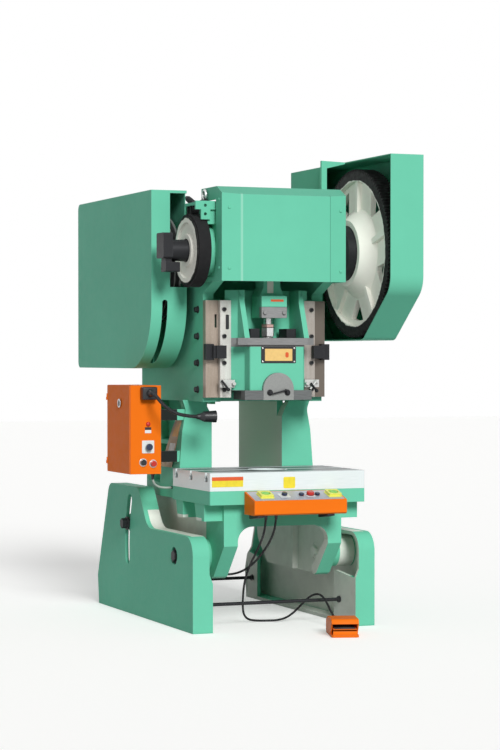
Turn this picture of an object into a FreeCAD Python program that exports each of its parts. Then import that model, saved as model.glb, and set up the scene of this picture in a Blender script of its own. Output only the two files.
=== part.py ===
"""Open-back inclinable mechanical stamping press, 40 ton class.

Millimetres.  X runs to the right, Y to the back, Z up, and the floor is Z = 0.
The shapes are drawn round the ram's centre line, where X = Y = 0, and every
sub-part's Placement then moves it back by anchor_middle, so that the origin of
the finished press is the middle of its four floor anchors.
"""
import FreeCAD, Part
import math
import os
import Sketcher

os.makedirs("parts", exist_ok=True)
doc = FreeCAD.newDocument("stamping_press")
sheet = doc.addObject("Spreadsheet::Sheet", "Sizes")


class Size:
    """A length that knows its value and its formula in the sheet."""

    def __init__(self, value, formula):
        self.value = float(value)
        self.formula = formula

    def join(self, other, sign, value):
        right = other.formula if isinstance(other, Size) else repr(float(other))
        return Size(value, f"({self.formula} {sign} {right})")

    def __add__(self, other):
        return self.join(other, "+", self.value + float(other))

    def __sub__(self, other):
        return self.join(other, "-", self.value - float(other))

    def __mul__(self, other):
        return self.join(other, "*", self.value * float(other))

    def __truediv__(self, other):
        return self.join(other, "/", self.value / float(other))

    def __radd__(self, other):
        return Size(other, repr(float(other))) + self

    def __rsub__(self, other):
        return Size(other, repr(float(other))) - self

    def __rmul__(self, other):
        return Size(other, repr(float(other))) * self

    def __neg__(self):
        return Size(-self.value, f"(-{self.formula})")

    def __float__(self):
        return self.value


def cosine(angle):
    return Size(math.cos(math.radians(float(angle))), f"cos({angle.formula} * 1deg)")


def sine(angle):
    return Size(math.sin(math.radians(float(angle))), f"sin({angle.formula} * 1deg)")


def root(area):
    return Size(math.sqrt(float(area)), f"sqrt({area.formula})")


class Names:
    """Every driving dimension, by its name."""


size = Names()


def driving(*rows):
    """Put named numbers in the sheet; each row is a name and its value."""
    for name, value in rows:
        row = len(vars(size)) + 1
        sheet.set(f"A{row}", name.replace("_", " "))
        sheet.set(f"B{row}", str(value))
        sheet.setAlias(f"B{row}", name)
        setattr(size, name, Size(value, f"Sizes.{name}"))


# ---- driving dimensions -------------------------------------------------
driving(
    # how pieces meet
    ("seat_gap", 0.3), ("running_gap", 0.05), ("sheet_steel", 4),
    # floor anchors
    ("anchor_front", 20), ("anchor_pitch", 880), ("anchor_side", 380), ("anchor_hole", 13),
    # legs
    ("leg_outer", 436), ("leg_wall", 16), ("leg_depth", 94), ("leg_front", -203),
    ("leg_back", 1127), ("leg_front_top", 421), ("leg_back_top", 601), ("leg_step", 534),
    ("leg_swell", 18), ("leg_swell_height", 140), ("leg_back_lean", 163),
    ("rim_step_height", 216), ("rim_step", 16), ("foot_plate_height", 235),
    # tilting
    ("pivot_back", 39), ("pivot_height", 322), ("pivot_pin", 40), ("pivot_boss", 72),
    ("slot_radius", 650), ("slot_low", -5.4), ("slot_high", 19), ("slot_width", 60),
    ("lock_angle", 9), ("lock_shank", 22), ("tie_radius", 8), ("tie_front", -32),
    ("tie_height", 105), ("tie_back", 1035),
    # frame
    ("column_inner", 174), ("column_outer", 337), ("column_neck", 300), ("throat_face", 255),
    ("frame_back", 800), ("column_web", 30), ("column_flange", 45), ("apron_outer", 282),
    ("apron_inner", 216), ("apron_front", -180), ("apron_top", 460), ("apron_foot", 221),
    ("apron_corner", 68),
    ("slab_half", 370), ("slab_bottom", 562), ("slab_depth", 61), ("table_half_deep", 240),
    ("table_plate", 80), ("table_drop", 90), ("ledge_bottom", 487), ("table_slot", 11),
    ("head_bottom", 1007), ("head_top", 1900), ("head_outer", 290), ("head_wall", 50),
    ("head_front", 60), ("head_nose", -130), ("head_floor", 40), ("head_roof", 30),
    ("table_slot_place", 191), ("weld_front", -400), ("lug_side", 36),
    ("guard_strap", 27),
    # drive
    ("crank_height", 1681), ("stroke", 100), ("journal", 70), ("crank_pin", 65),
    ("bush_wall", 18), ("bearing_boss", 115), ("gear_teeth", 126), ("pinion_teeth", 18),
    ("tooth_module", 6), ("gear_left", 424), ("gear_width", 76), ("gear_bore", 60),
    ("gear_rim", 330), ("gear_hub", 150), ("hub_reach", 40), ("gear_dish", 205),
    ("gear_web", 26), ("arm_width", 26), ("clutch_radius", 123), ("shaft_back", 427),
    ("shaft_radius", 35), ("flywheel_radius", 245), ("flywheel_width", 135),
    ("flywheel_left", -481), ("pulley_radius", 62), ("motor_back", 1075),
    ("motor_height", 1310), ("motor_radius", 105), ("motor_length", 330), ("belt_pitch", 24),
    ("drum_radius", 150), ("drum_width", 62), ("drum_left", -394), ("band_outer", 162),
    ("band_lug", 34),
    # connecting rod, screw and ram
    ("rod_half", 58), ("rod_eye", 104), ("ball_height", 1265), ("ball_radius", 40),
    ("screw_radius", 20), ("lock_top", 1481), ("lock_bottom", 1383),
    ("ram_half", 131), ("ram_front", -110), ("vee_reach", 200), ("vee_back", 22),
    ("ram_bottom", 1017), ("ram_flange", 43), ("ram_top", 1293), ("ram_rib_top", 1508),
    ("shank_radius", 25), ("shank_length", 70), ("clamp_radius", 73), ("clamp_front", -125),
    ("gib_inner", 178), ("gib_outer", 230), ("gib_bottom", 1027), ("gib_height", 435),
    # covers
    ("belt_cover_left", -496), ("belt_cover_right", -327), ("belt_cover_front", 170),
    ("belt_cover_back", 1269), ("belt_cover_top", 1960), ("belt_cover_bottom", 1156),
    ("guard_left", 408), ("guard_right", 568), ("guard_front", -427), ("guard_back", 702),
    ("guard_top", 2102), ("guard_bottom", 1284), ("guard_opening", 325),
    ("cover_half", 297), ("cover_front", -206), ("cover_bottom", 1542), ("cover_top", 1960),
    # electrics
    ("hinge_radius", 3.8), ("cabinet_left", -589), ("cabinet_width", 149), ("cabinet_front", 200),
    ("cabinet_depth", 330), ("cabinet_bottom", 680), ("cabinet_height", 400),
    ("station_left", -209), ("station_width", 438), ("station_front", -360),
    ("station_bottom", 520), ("station_lip", 583), ("station_rise", 36),
    ("pedal_place_x", 165), ("pedal_place_y", -455), ("pedal_half", 60), ("pedal_length", 210),
    ("pedal_height", 78), ("pedal_turn", -17),
    ("button_travel", 5), ("lamp_radius", 24), ("cable_radius", 5),
)
anchor_middle = size.anchor_front + size.anchor_pitch / 2
table_top = size.slab_bottom + size.slab_depth + size.table_plate
table_seat = size.slab_bottom + size.slab_depth
gear_pitch = size.tooth_module * size.gear_teeth / 2
pinion_pitch = size.tooth_module * size.pinion_teeth / 2
shaft_spacing = gear_pitch + pinion_pitch
shaft_drop = root(shaft_spacing * shaft_spacing - size.shaft_back * size.shaft_back)
shaft_height = size.crank_height - shaft_drop
pin_height = size.crank_height + size.stroke / 2
stud_place = size.rod_eye + 11
lock_back = size.pivot_back + size.slot_radius * cosine(size.lock_angle)
lock_height = size.pivot_height + size.slot_radius * sine(size.lock_angle)
station_back = 0 - size.table_half_deep - size.seat_gap
station_tilt = math.degrees(math.atan2(float(size.station_rise),
                                       float(station_back - size.station_front)))
doc.recompute()


# ---- drawing helpers ----------------------------------------------------
def at(x, y, rounding=None, bow=None):
    """A corner of an outline.  rounding rounds it; bow makes the edge that leaves
    it an arc of that radius, which turns left where bow is above zero."""
    return (x, y, rounding, bow)


def ring(x, y, radius):
    return ("ring", x, y, radius)


def formula(number):
    return number.formula if isinstance(number, Size) else repr(float(number))


def arc_through(first, middle, last):
    """An arc through three points, laid anticlockwise as a sketch wants it."""
    if (middle - first).cross(last - middle).z < 0:
        first, last = last, first
    return Part.Arc(first, middle, last)


class Drawing:
    """A sketch whose every corner and radius is bound to the sheet."""

    def __init__(self, body, plane, shift):
        roles = {"XY": "XY_Plane", "XZ": "XZ_Plane", "YZ": "YZ_Plane"}
        self.sketch = body.newObject("Sketcher::SketchObject", body.Name + "_sketch")
        support = [f for f in body.Origin.OriginFeatures if f.Role == roles[plane]][0]
        self.sketch.AttachmentSupport = (support, [""])
        self.sketch.MapMode = "FlatFace"
        for axis, distance in zip("xyz", shift):
            self.sketch.setExpression(f".AttachmentOffset.Base.{axis}", formula(distance))

    def bind(self, *constraint):
        number = constraint[-1]
        index = self.sketch.addConstraint(Sketcher.Constraint(*constraint[:-1], float(number)))
        if isinstance(number, Size):
            self.sketch.setExpression(f"Constraints[{index}]", number.formula)

    def fix(self, geometry, end, x, y):
        self.bind("DistanceX", -1, 1, geometry, end, x)
        self.bind("DistanceY", -1, 1, geometry, end, y)

    def add(self, loops):
        for loop in loops:
            if loop[0] == "ring":
                self.add_ring(*loop[1:])
            else:
                self.add_loop(loop)

    def add_ring(self, x, y, radius):
        centre = FreeCAD.Vector(float(x), float(y), 0)
        circle = Part.Circle(centre, FreeCAD.Vector(0, 0, 1), float(radius))
        index = self.sketch.addGeometry(circle, False)
        self.fix(index, 3, x, y)
        self.bind("Radius", index, radius)

    def add_loop(self, loop):
        points = [FreeCAD.Vector(float(c[0]), float(c[1]), 0) for c in loop]
        count = len(loop)
        starts, ends, arcs = list(points), list(points), {}
        for i in range(count):
            if loop[i][2] is not None:
                before = (points[i - 1] - points[i]).normalize()
                after = (points[(i + 1) % count] - points[i]).normalize()
                half = before.getAngle(after) / 2
                reach = float(loop[i][2]) / math.tan(half)
                ends[i] = points[i] + before * reach
                starts[i] = points[i] + after * reach
                centre = points[i] + (before + after).normalize() * (
                    float(loop[i][2]) / math.sin(half))
                middle = centre + (points[i] - centre).normalize() * float(loop[i][2])
                arcs[i] = arc_through(ends[i], middle, starts[i])
        sides = []
        for i in range(count):
            here, there, bow = starts[i], ends[(i + 1) % count], loop[i][3]
            if bow is None:
                edge = Part.LineSegment(here, there)
            else:
                chord = there - here
                half = chord.Length / 2
                radius = max(abs(float(bow)), half)
                sagitta = radius - math.sqrt(max(radius * radius - half * half, 0))
                side = FreeCAD.Vector(chord.y, -chord.x, 0).normalize()
                if float(bow) < 0:
                    side = side * -1
                edge = arc_through(here, (here + there) / 2 + side * sagitta, there)
            sides.append(self.place(edge, here, there))
        corners = {i: self.place(arc, ends[i], starts[i]) for i, arc in arcs.items()}
        for i in range(count):
            last, side = sides[i - 1], sides[i]
            if i in corners:
                self.round_corner(loop[i], points[i], corners[i], last, side)
            else:
                self.sketch.addConstraint(Sketcher.Constraint(
                    "Coincident", last[0], last[2], side[0], side[1]))
                self.fix(side[0], side[1], loop[i][0], loop[i][1])
            if loop[i][3] is not None:
                self.bind_bow(side[0], loop[i], loop[(i + 1) % count])

    def place(self, edge, first, second):
        """Add an edge, and say which of its ends lies at each of two points."""
        index = self.sketch.addGeometry(edge, False)
        kept = self.sketch.Geometry[index]
        forward = (kept.StartPoint - first).Length < (kept.StartPoint - second).Length
        return (index, 1, 2) if forward else (index, 2, 1)

    def round_corner(self, corner, point, arc, last, side):
        mark = self.sketch.addGeometry(Part.Point(point), True)
        self.fix(mark, 1, corner[0], corner[1])
        for line, end, arc_end in ((last[0], last[2], arc[1]), (side[0], side[1], arc[2])):
            self.sketch.addConstraint(Sketcher.Constraint("PointOnObject", mark, 1, line))
            self.sketch.addConstraint(Sketcher.Constraint("Tangent", line, end, arc[0], arc_end))
        self.bind("Radius", arc[0], corner[2])

    def bind_bow(self, index, corner, following):
        """An arc takes its radius, or its centre where it is half a circle."""
        bow = corner[3] if float(corner[3]) > 0 else 0 - corner[3]
        dx = float(following[0]) - float(corner[0])
        dy = float(following[1]) - float(corner[1])
        if float(bow) > 0.505 * math.hypot(dx, dy):
            self.bind("Radius", index, bow)
        elif abs(dx) > abs(dy):
            self.bind("DistanceY", -1, 1, index, 3, (corner[1] + following[1]) / 2)
        else:
            self.bind("DistanceX", -1, 1, index, 3, (corner[0] + following[0]) / 2)


class Piece:
    """A sub-part made in one Body from pads, pockets and turned profiles."""

    def __init__(self, name, place=(0, 0, 0), turn=None):
        self.body = doc.addObject("PartDesign::Body", name)
        self.body.Label = name
        self.body.AllowCompound = True
        x, y, z = place
        if turn is not None:
            axis, angle = turn
            self.body.setExpression(".Placement.Rotation.Axis.x", str(axis[0]))
            self.body.setExpression(".Placement.Rotation.Axis.y", str(axis[1]))
            self.body.setExpression(".Placement.Rotation.Axis.z", str(axis[2]))
            self.body.setExpression(".Placement.Rotation.Angle", f"{formula(angle)} * 1deg")
        self.body.setExpression(".Placement.Base.x", formula(x))
        self.body.setExpression(".Placement.Base.y", formula(y - anchor_middle))
        self.body.setExpression(".Placement.Base.z", formula(z))
        subparts.append(self.body)

    def slab(self, plane, low, high, *loops, cut=False):
        """Pad (or pocket) an outline between two places along the plane's normal."""
        kind = "PartDesign::Pocket" if cut else "PartDesign::Pad"
        if plane == "XZ":
            height = 0 - (low if cut else high)
        else:
            height = high if cut else low
        drawing = Drawing(self.body, plane, (0, 0, height))
        drawing.add(loops)
        feature = self.body.newObject(kind, self.body.Name + "_slab")
        feature.Profile = drawing.sketch
        feature.setExpression("Length", formula(high - low))
        return feature

    def cut(self, plane, low, high, *loops):
        return self.slab(plane, low, high, *loops, cut=True)

    def turned(self, axis, centre, *profile, groove=False, angle=360):
        """Turn a profile of (along, radius) corners about an axis through centre."""
        if axis == "X":
            plane, shift, line = "XZ", (0, centre[1], 0 - centre[0]), "H_Axis"
        elif axis == "Y":
            plane, shift, line = "YZ", (0, centre[1], centre[0]), "H_Axis"
        else:
            plane, shift, line = "XZ", (centre[0], 0, 0 - centre[1]), "V_Axis"
            profile = [(c[1], c[0], c[2], c[3]) for c in profile]
        drawing = Drawing(self.body, plane, shift)
        drawing.add([list(profile)])
        kind = "PartDesign::Groove" if groove else "PartDesign::Revolution"
        feature = self.body.newObject(kind, self.body.Name + "_turned")
        feature.Profile = drawing.sketch
        feature.ReferenceAxis = (drawing.sketch, [line])
        feature.Angle = angle
        return feature

    def rod(self, axis, centre, low, high, radius):
        return self.turned(axis, centre, at(low, 0), at(high, 0), at(high, radius),
                           at(low, radius))

    def bore(self, axis, centre, low, high, radius):
        plane = {"X": "YZ", "Y": "XZ", "Z": "XY"}[axis]
        return self.cut(plane, low, high, ring(centre[0], centre[1], radius))

    def hollow(self, wall, *open_sides):
        """Leave a wall of sheet and take away the sides whose centre is given."""
        doc.recompute()
        base = self.body.Tip
        names = []
        for axis, place in open_sides:
            for number, face in enumerate(base.Shape.Faces, 1):
                places = [getattr(corner.Point, axis.lower()) for corner in face.Vertexes]
                if max(abs(spot - float(place)) for spot in places) < 0.01:
                    names.append(f"Face{number}")
        shell = self.body.newObject("PartDesign::Thickness", self.body.Name + "_shell")
        shell.Base = (base, names)
        shell.setExpression("Value", formula(wall))
        shell.Reversed = True
        shell.Mode = 0
        shell.Join = 0
        return shell


subparts = []


def solid(name, shape):
    """A sub-part whose shape is worked out here, moved to the common origin."""
    feature = doc.addObject("Part::Feature", name)
    feature.Label = name
    feature.Shape = shape
    feature.setExpression(".Placement.Base.y", formula(0 - anchor_middle))
    subparts.append(feature)
    return feature


def prism(sides, across, length):
    """A nut or bolt head standing on XY, measured across its flats."""
    radius = float(across) / 2 / math.cos(math.pi / sides)
    corners = [FreeCAD.Vector(radius * math.cos(2 * math.pi * i / sides),
                              radius * math.sin(2 * math.pi * i / sides), 0)
               for i in range(sides + 1)]
    return Part.Face(Part.makePolygon(corners)).extrude(FreeCAD.Vector(0, 0, float(length)))


def bolt(across, head, shank, length, washer=0):
    """A bolt whose head stands up from XY and whose shank hangs below it."""
    shape = prism(6, across, head)
    if washer:
        shape = shape.translated(FreeCAD.Vector(0, 0, washer))
        shape = shape.fuse(Part.makeCylinder(float(across) * 0.75, washer))
    if length:
        shank_shape = Part.makeCylinder(float(shank), float(length), FreeCAD.Vector(0, 0, 0),
                                        FreeCAD.Vector(0, 0, -1))
        shape = shape.fuse(shank_shape)
    return shape.removeSplitter()


TOWARDS = {"+X": (0, 1, 0, 90), "-X": (0, 1, 0, -90), "+Y": (1, 0, 0, -90),
           "-Y": (1, 0, 0, 90), "+Z": (0, 0, 1, 0), "-Z": (1, 0, 0, 180)}


def put(shape, towards, x, y, z):
    """A copy of a shape, its top turned to one of the axes, at a place."""
    ax, ay, az, angle = TOWARDS[towards]
    turn = FreeCAD.Rotation(FreeCAD.Vector(ax, ay, az), angle)
    copy = shape.copy()
    copy.Placement = FreeCAD.Placement(FreeCAD.Vector(float(x), float(y), float(z)), turn)
    return copy


def cord_path(points):
    """Straight runs joined by tangent arcs, each as large as its two runs allow."""
    corners = [FreeCAD.Vector(*[float(c) for c in p]) for p in points]
    edges, radii, last = [], [], corners[0]
    for before, here, after in zip(corners, corners[1:], corners[2:]):
        back, on = before - here, after - here
        run = min(back.Length, on.Length)
        turn = math.pi - back.getAngle(on)
        radius = 0.45 * run / math.tan(turn / 2)
        reach = 0.45 * run
        start = here + back.normalize() * reach
        finish = here + on.normalize() * reach
        inward = (start + finish) / 2 - here
        centre = here + inward.normalize() * math.hypot(radius, reach)
        middle = centre + (here - centre).normalize() * radius
        edges.append(Part.LineSegment(last, start).toShape())
        edges.append(Part.Arc(start, middle, finish).toShape())
        radii.append(round(radius))
        last = finish
    edges.append(Part.LineSegment(last, corners[-1]).toShape())
    return Part.Wire(edges), radii


def cord_tube(name, points, radius):
    """A plain tube along a cord's route."""
    path, radii = cord_path(points)
    first, second = FreeCAD.Vector(*map(float, points[0])), FreeCAD.Vector(*map(float, points[1]))
    circle = Part.makeCircle(float(radius), first, second - first)
    tube = path.makePipeShell([Part.Wire(circle)], True, True)
    wanted = math.pi * float(radius) ** 2 * path.Length
    print(name, "length", round(path.Length), "volume share", round(tube.Volume / wanted, 4),
          "smallest radius", min(radii), "all", radii)
    return tube


def cord(name, points, radius):
    solid(name, cord_tube(name, points, radius))


# ---- the stand: two legs, their ties and the tilting pins ----------------
def leg_outline():
    return [at(size.leg_front, 0), at(size.leg_back, 0),
            at(size.leg_back + size.leg_swell, size.leg_swell_height),
            at(size.leg_back - size.leg_back_lean, size.leg_back_top, rounding=60),
            at(size.leg_step, size.leg_back_top, rounding=45),
            at(size.leg_step - 134, size.leg_front_top, rounding=110),
            at(size.leg_front, size.leg_front_top, rounding=85)]


def slot_outline():
    inside = size.slot_radius - size.slot_width / 2
    outside = size.slot_radius + size.slot_width / 2
    corners = []
    for radius, angle, bow in ((inside, size.slot_low, size.slot_width / 2),
                               (outside, size.slot_low, outside),
                               (outside, size.slot_high, size.slot_width / 2),
                               (inside, size.slot_high, 0 - inside)):
        corners.append(at(size.pivot_back + radius * cosine(angle),
                          size.pivot_height + radius * sine(angle), bow=bow))
    return corners


def leg(name, side):
    """An open shell: a side plate with a deep rim, inner foot plates and a floor flange."""
    outer, wall = size.leg_outer, size.leg_wall
    rim = outer - size.leg_depth

    def span(low, high):
        return (low, high) if side > 0 else (0 - high, 0 - low)

    piece = Piece(name)
    piece.slab("YZ", *span(rim, outer), leg_outline())
    piece.hollow(wall, ("X", side * rim))
    step = rim + size.rim_step
    shave = [at(side * (rim - 1), size.rim_step_height),
             at(side * rim, size.rim_step_height),
             at(side * step, size.rim_step_height + 40),
             at(side * step, size.leg_back_top + 1), at(side * (rim - 1), size.leg_back_top + 1)]
    piece.cut("XZ", size.leg_front - 1, size.leg_back + size.leg_swell + 1, shave)
    top = size.foot_plate_height
    plates = ((size.leg_front + wall - 1, size.pivot_back),
              (size.leg_back - 150, size.leg_back - wall + 1))
    for front, back in plates:
        piece.slab("YZ", *span(rim, rim + wall), [
            at(front, wall - 1), at(back, wall - 1), at(back, top, rounding=20),
            at(front, top - 19)])
    boss = (size.pivot_back, size.pivot_height)
    face = outer - 56
    piece.slab("YZ", *span(face, outer - wall + 1), ring(*boss, size.pivot_boss))
    piece.bore("X", boss, *span(face - 1, outer + 1), size.pivot_pin)
    piece.cut("YZ", *span(outer - wall - 1, outer + 1), slot_outline())
    for place in (size.anchor_front, size.anchor_front + size.anchor_pitch):
        piece.bore("Z", (side * size.anchor_side, place), -1, wall + 1, size.anchor_hole)
    for place in (size.tie_front, size.tie_back):
        piece.bore("X", (place, size.tie_height), *span(rim - 1, rim + wall + 1),
                   size.tie_radius + size.seat_gap)


def tie_rods():
    """Two black bars between the legs, held by a nut inside each foot plate."""
    reach = size.leg_outer - size.leg_depth
    shapes = []
    for place in (size.tie_front, size.tie_back):
        end = float(reach + size.leg_wall)
        bar = Part.makeCylinder(float(size.tie_radius), 2 * end,
                                FreeCAD.Vector(-end, float(place), float(size.tie_height)),
                                FreeCAD.Vector(1, 0, 0))
        for side in (-1, 1):
            nut = put(prism(6, size.tie_radius * 3.2, 12), "+X" if side < 0 else "-X",
                      side * (reach - size.seat_gap), place, size.tie_height)
            bar = bar.fuse(nut)
        shapes.append(bar.removeSplitter())
    solid("tie_rods", Part.makeCompound(shapes))


def pivot_pins():
    """The frame tilts on these two pins, pressed up inside the legs' bosses."""
    shapes = []
    inner = size.apron_outer - 30
    for side in (-1, 1):
        length = size.leg_outer - 10 - inner
        start = inner if side > 0 else 0 - inner - length
        pin = Part.makeCylinder(float(size.pivot_pin - size.running_gap), float(length),
                                FreeCAD.Vector(float(start), float(size.pivot_back),
                                               float(size.pivot_height)),
                                FreeCAD.Vector(1, 0, 0))
        for face, towards in ((size.leg_outer - 10, 1), (inner, -1)):
            head = put(prism(6, 44, 16), "+X" if side * towards > 0 else "-X",
                       side * face, size.pivot_back, size.pivot_height)
            pin = pin.fuse(head)
        shapes.append(pin.removeSplitter())
    solid("pivot_pins", Part.makeCompound(shapes))


def lock_bolts():
    """Bolts through the curved slots that clamp the frame at its tilt."""
    lug_face = size.leg_outer - size.leg_wall - size.seat_gap
    shapes = []
    for side, towards in ((-1, "-X"), (1, "+X")):
        shape = bolt(42, 24, size.lock_shank - 2, size.leg_wall + 40, washer=8)
        shapes.append(put(shape, towards, side * (size.leg_outer + size.seat_gap),
                          lock_back, lock_height))
    return solid("lock_bolts", Part.makeCompound(shapes))


# ---- the frame -----------------------------------------------------------
def lower_wall_outline():
    foot = size.apron_foot
    return [at(size.apron_front, size.slab_bottom), at(size.apron_front, foot + 154),
            at(size.apron_front + 130, foot + 10), at(size.apron_front + 160, foot),
            at(size.frame_back - 180, foot, rounding=40),
            at(size.frame_back - 60, foot + 109, rounding=60),
            at(size.frame_back, size.slab_bottom)]


def head_outline():
    nose = size.head_nose
    return [at(size.head_front, size.head_bottom), at(size.frame_back, size.head_bottom),
            at(size.frame_back, size.head_top - 60), at(size.frame_back - 90, size.head_top),
            at(size.head_front + 10, size.head_top),
            at(nose, size.crank_height + 120, rounding=60),
            at(nose, size.crank_height - 110, rounding=50),
            at(size.head_front, size.crank_height - 190, rounding=20)]


def frame_casting():
    """The C shaped body: lower walls, table slab, two box columns and the head."""
    piece = Piece("frame_shape")
    inner, outer = size.apron_inner, size.apron_outer
    front, bottom = size.apron_front, size.slab_bottom
    # lower walls with their front flanges, ribs and bosses
    for side in (-1, 1):
        def span(low, high):
            return (low, high) if side > 0 else (0 - high, 0 - low)
        piece.slab("YZ", *span(outer - 32, outer), lower_wall_outline())
        foot = size.apron_foot
        piece.slab("YZ", *span(inner, outer - 16), [
            at(front, bottom), at(front, foot + 154), at(front + 130, foot + 10),
            at(front + 160, foot), at(front + 190, foot + 29),
            at(front + 40, foot + 169), at(front + 40, bottom)])
        piece.slab("YZ", *span(inner + 6, outer - 16), [
            at(240, foot + 5), at(264, foot + 5), at(264, bottom), at(240, bottom)])
        piece.slab("YZ", *span(outer - 16, size.leg_outer - 56 - size.seat_gap),
                   ring(size.pivot_back, size.pivot_height, size.pivot_boss))
        piece.slab("YZ", *span(outer - 16, size.leg_outer - size.leg_wall - size.seat_gap),
                   ring(lock_back, lock_height, 46))
        # ledges under the slab's corners
        for place, depth in ((-162, 100), (110, 70)):
            piece.slab("YZ", *span(outer - 16, size.slab_half - 2), [
                at(place, size.ledge_bottom), at(place + depth, size.ledge_bottom),
                at(place + depth + 20, bottom + 1), at(place, bottom + 1)])
    # the front beam over the opening
    beam, corner = size.apron_top, size.apron_corner
    piece.slab("XZ", front, front + 40, [
        at(0 - inner - 4, bottom + 1), at(0 - inner - 4, beam - corner),
        at(0 - inner, beam - corner, bow=0 - corner), at(corner - inner, beam),
        at(inner - corner, beam, bow=0 - corner), at(inner, beam - corner),
        at(inner + 4, beam - corner), at(inner + 4, bottom + 1)])
    # table slab and the deck behind it
    half, deep = size.slab_half, size.table_half_deep
    piece.slab("XY", bottom, table_seat, [
        at(0 - half, 0 - deep, rounding=6), at(half, 0 - deep, rounding=6), at(half, deep),
        at(size.column_outer, deep + 30), at(size.column_outer, 505, rounding=60),
        at(size.column_neck, size.frame_back), at(0 - size.column_neck, size.frame_back),
        at(0 - size.column_outer, 505, rounding=60), at(0 - size.column_outer, deep + 30),
        at(0 - half, deep)], ring(0, 0, size.table_drop + 15))
    columns(piece)
    head(piece)
    carriers(piece)
    return piece


def columns(piece):
    """Each column is a channel, open outwards, with a cheek that tapers to the neck."""
    inner, face = size.column_inner, size.throat_face
    low, high = table_seat - 5, size.head_bottom + 5
    for side in (-1, 1):
        def span(a, b):
            return (a, b) if side > 0 else (0 - b, 0 - a)
        piece.slab("YZ", *span(inner, inner + size.column_web), [
            at(face, low), at(size.frame_back, low), at(size.frame_back, high), at(face, high)])
        edge = [at(side * inner, low), at(side * size.column_outer, low),
                at(side * (size.column_outer - 19), table_top + 167),
                at(side * size.column_neck, table_top + 262, rounding=60),
                at(side * (size.column_neck + 16), high), at(side * inner, high)]
        piece.slab("XZ", face, face + size.column_flange, edge)
        piece.cut("XZ", face - 1, face + size.column_flange + 15, [
            at(side * (inner - 1), size.head_bottom - 75), at(side * inner, size.head_bottom - 75),
            at(side * (inner + 12), size.head_bottom - 45), at(side * (inner + 36), size.head_bottom),
            at(side * (inner - 1), size.head_bottom)])
        cheek = [at(side * (size.column_neck - 40), low), at(side * size.column_outer, low),
                 at(side * (size.column_outer - 19), table_top + 167),
                 at(side * size.column_neck, table_top + 262),
                 at(side * (size.column_neck - 40), table_top + 262)]
        piece.slab("XZ", face + size.column_flange, 512, cheek)
        piece.cut("YZ", *span(size.column_neck - 50, size.column_outer + 1), [
            at(513, 681), at(513, high + 6), at(face + size.column_flange, high + 6),
            at(face + size.column_flange, 1012), at(264 + 60, 1000)])
        piece.slab("XZ", size.frame_back - 40, size.frame_back, [
            at(side * inner, low), at(side * size.column_neck, low),
            at(side * size.head_outer, high), at(side * inner, high)])
        for height in (800, 920):
            piece.slab("XY", height, height + 18, [
                at(side * (inner + 5), 440), at(side * (size.column_neck - 25), 440),
                at(side * (size.column_neck - 25), size.frame_back - 10),
                at(side * (inner + 5), size.frame_back - 10)])


def head(piece):
    """Two bearing walls tied by a floor, a back and a top, with a nose for the crank."""
    outer, wall = size.head_outer, size.head_wall
    floor_back, bottom = size.frame_back, size.head_bottom
    for side in (-1, 1):
        def span(a, b):
            return (a, b) if side > 0 else (0 - b, 0 - a)
        piece.slab("YZ", *span(outer - wall, outer), head_outline())
        piece.slab("YZ", *span(outer - 5, outer + 35),
                   ring(0, size.crank_height, size.bearing_boss))
        piece.slab("YZ", *span(outer - 5, outer + 10), ring(size.shaft_back, shaft_height, 90))
        # the pads that the guides are bolted to
        pad = [at(side * (size.vee_reach + 6), size.head_front),
               at(side * (outer - wall + 5), size.head_front),
               at(side * (outer - wall + 5), size.head_front + 70),
               at(side * (size.vee_reach + 6), size.head_front + 50)]
        piece.slab("XY", size.gib_bottom - 20, size.gib_bottom + size.gib_height + 5, pad)
        # the lifting lugs beside the crank cover
        piece.slab("YZ", *span(outer - 5, outer + size.lug_side), [
            at(-95, size.head_top - 105), at(40, size.head_top - 105, rounding=10),
            at(40, size.head_top - 5, rounding=10), at(-95, size.head_top - 5)])
    # the strap that holds the top of the gear's guard
    strap, guard = size.head_front + 2, size.guard_left - size.seat_gap
    piece.slab("XZ", strap, strap + 13, [
        at(outer - 20, size.head_top - 40), at(outer + size.guard_strap, size.head_top - 40),
        at(outer + size.guard_strap, size.guard_top - 30), at(guard, size.guard_top - 8),
        at(guard, size.guard_top), at(outer, size.guard_top + 4),
        at(outer, size.head_top + 2), at(outer - 20, size.head_top + 2)])
    reach = outer - wall + 5
    rear = size.head_front + 120
    piece.slab("XY", bottom, bottom + size.head_floor, [
        at(0 - reach, rear), at(reach, rear), at(reach, floor_back), at(0 - reach, floor_back)])
    piece.slab("XZ", floor_back - 35, floor_back, [
        at(0 - reach, bottom), at(reach, bottom), at(reach, size.head_top - 60),
        at(0 - reach, size.head_top - 60)],
        [at(-110, 1180, rounding=40), at(110, 1180, rounding=40), at(110, 1420, rounding=40),
         at(-110, 1420, rounding=40)])
    piece.slab("XY", size.head_top - size.head_roof, size.head_top, [
        at(0 - reach, 170), at(reach, 170), at(reach, floor_back - 90),
        at(0 - reach, floor_back - 90)])
    for centre, radius in (((0, size.crank_height), size.journal + size.bush_wall),
                           ((size.shaft_back, shaft_height), size.shaft_radius + 25)):
        piece.bore("X", centre, 0 - outer - 50, 0 - outer + wall + 1, radius)
        piece.bore("X", centre, outer - wall - 1, outer + 50, radius)


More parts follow.
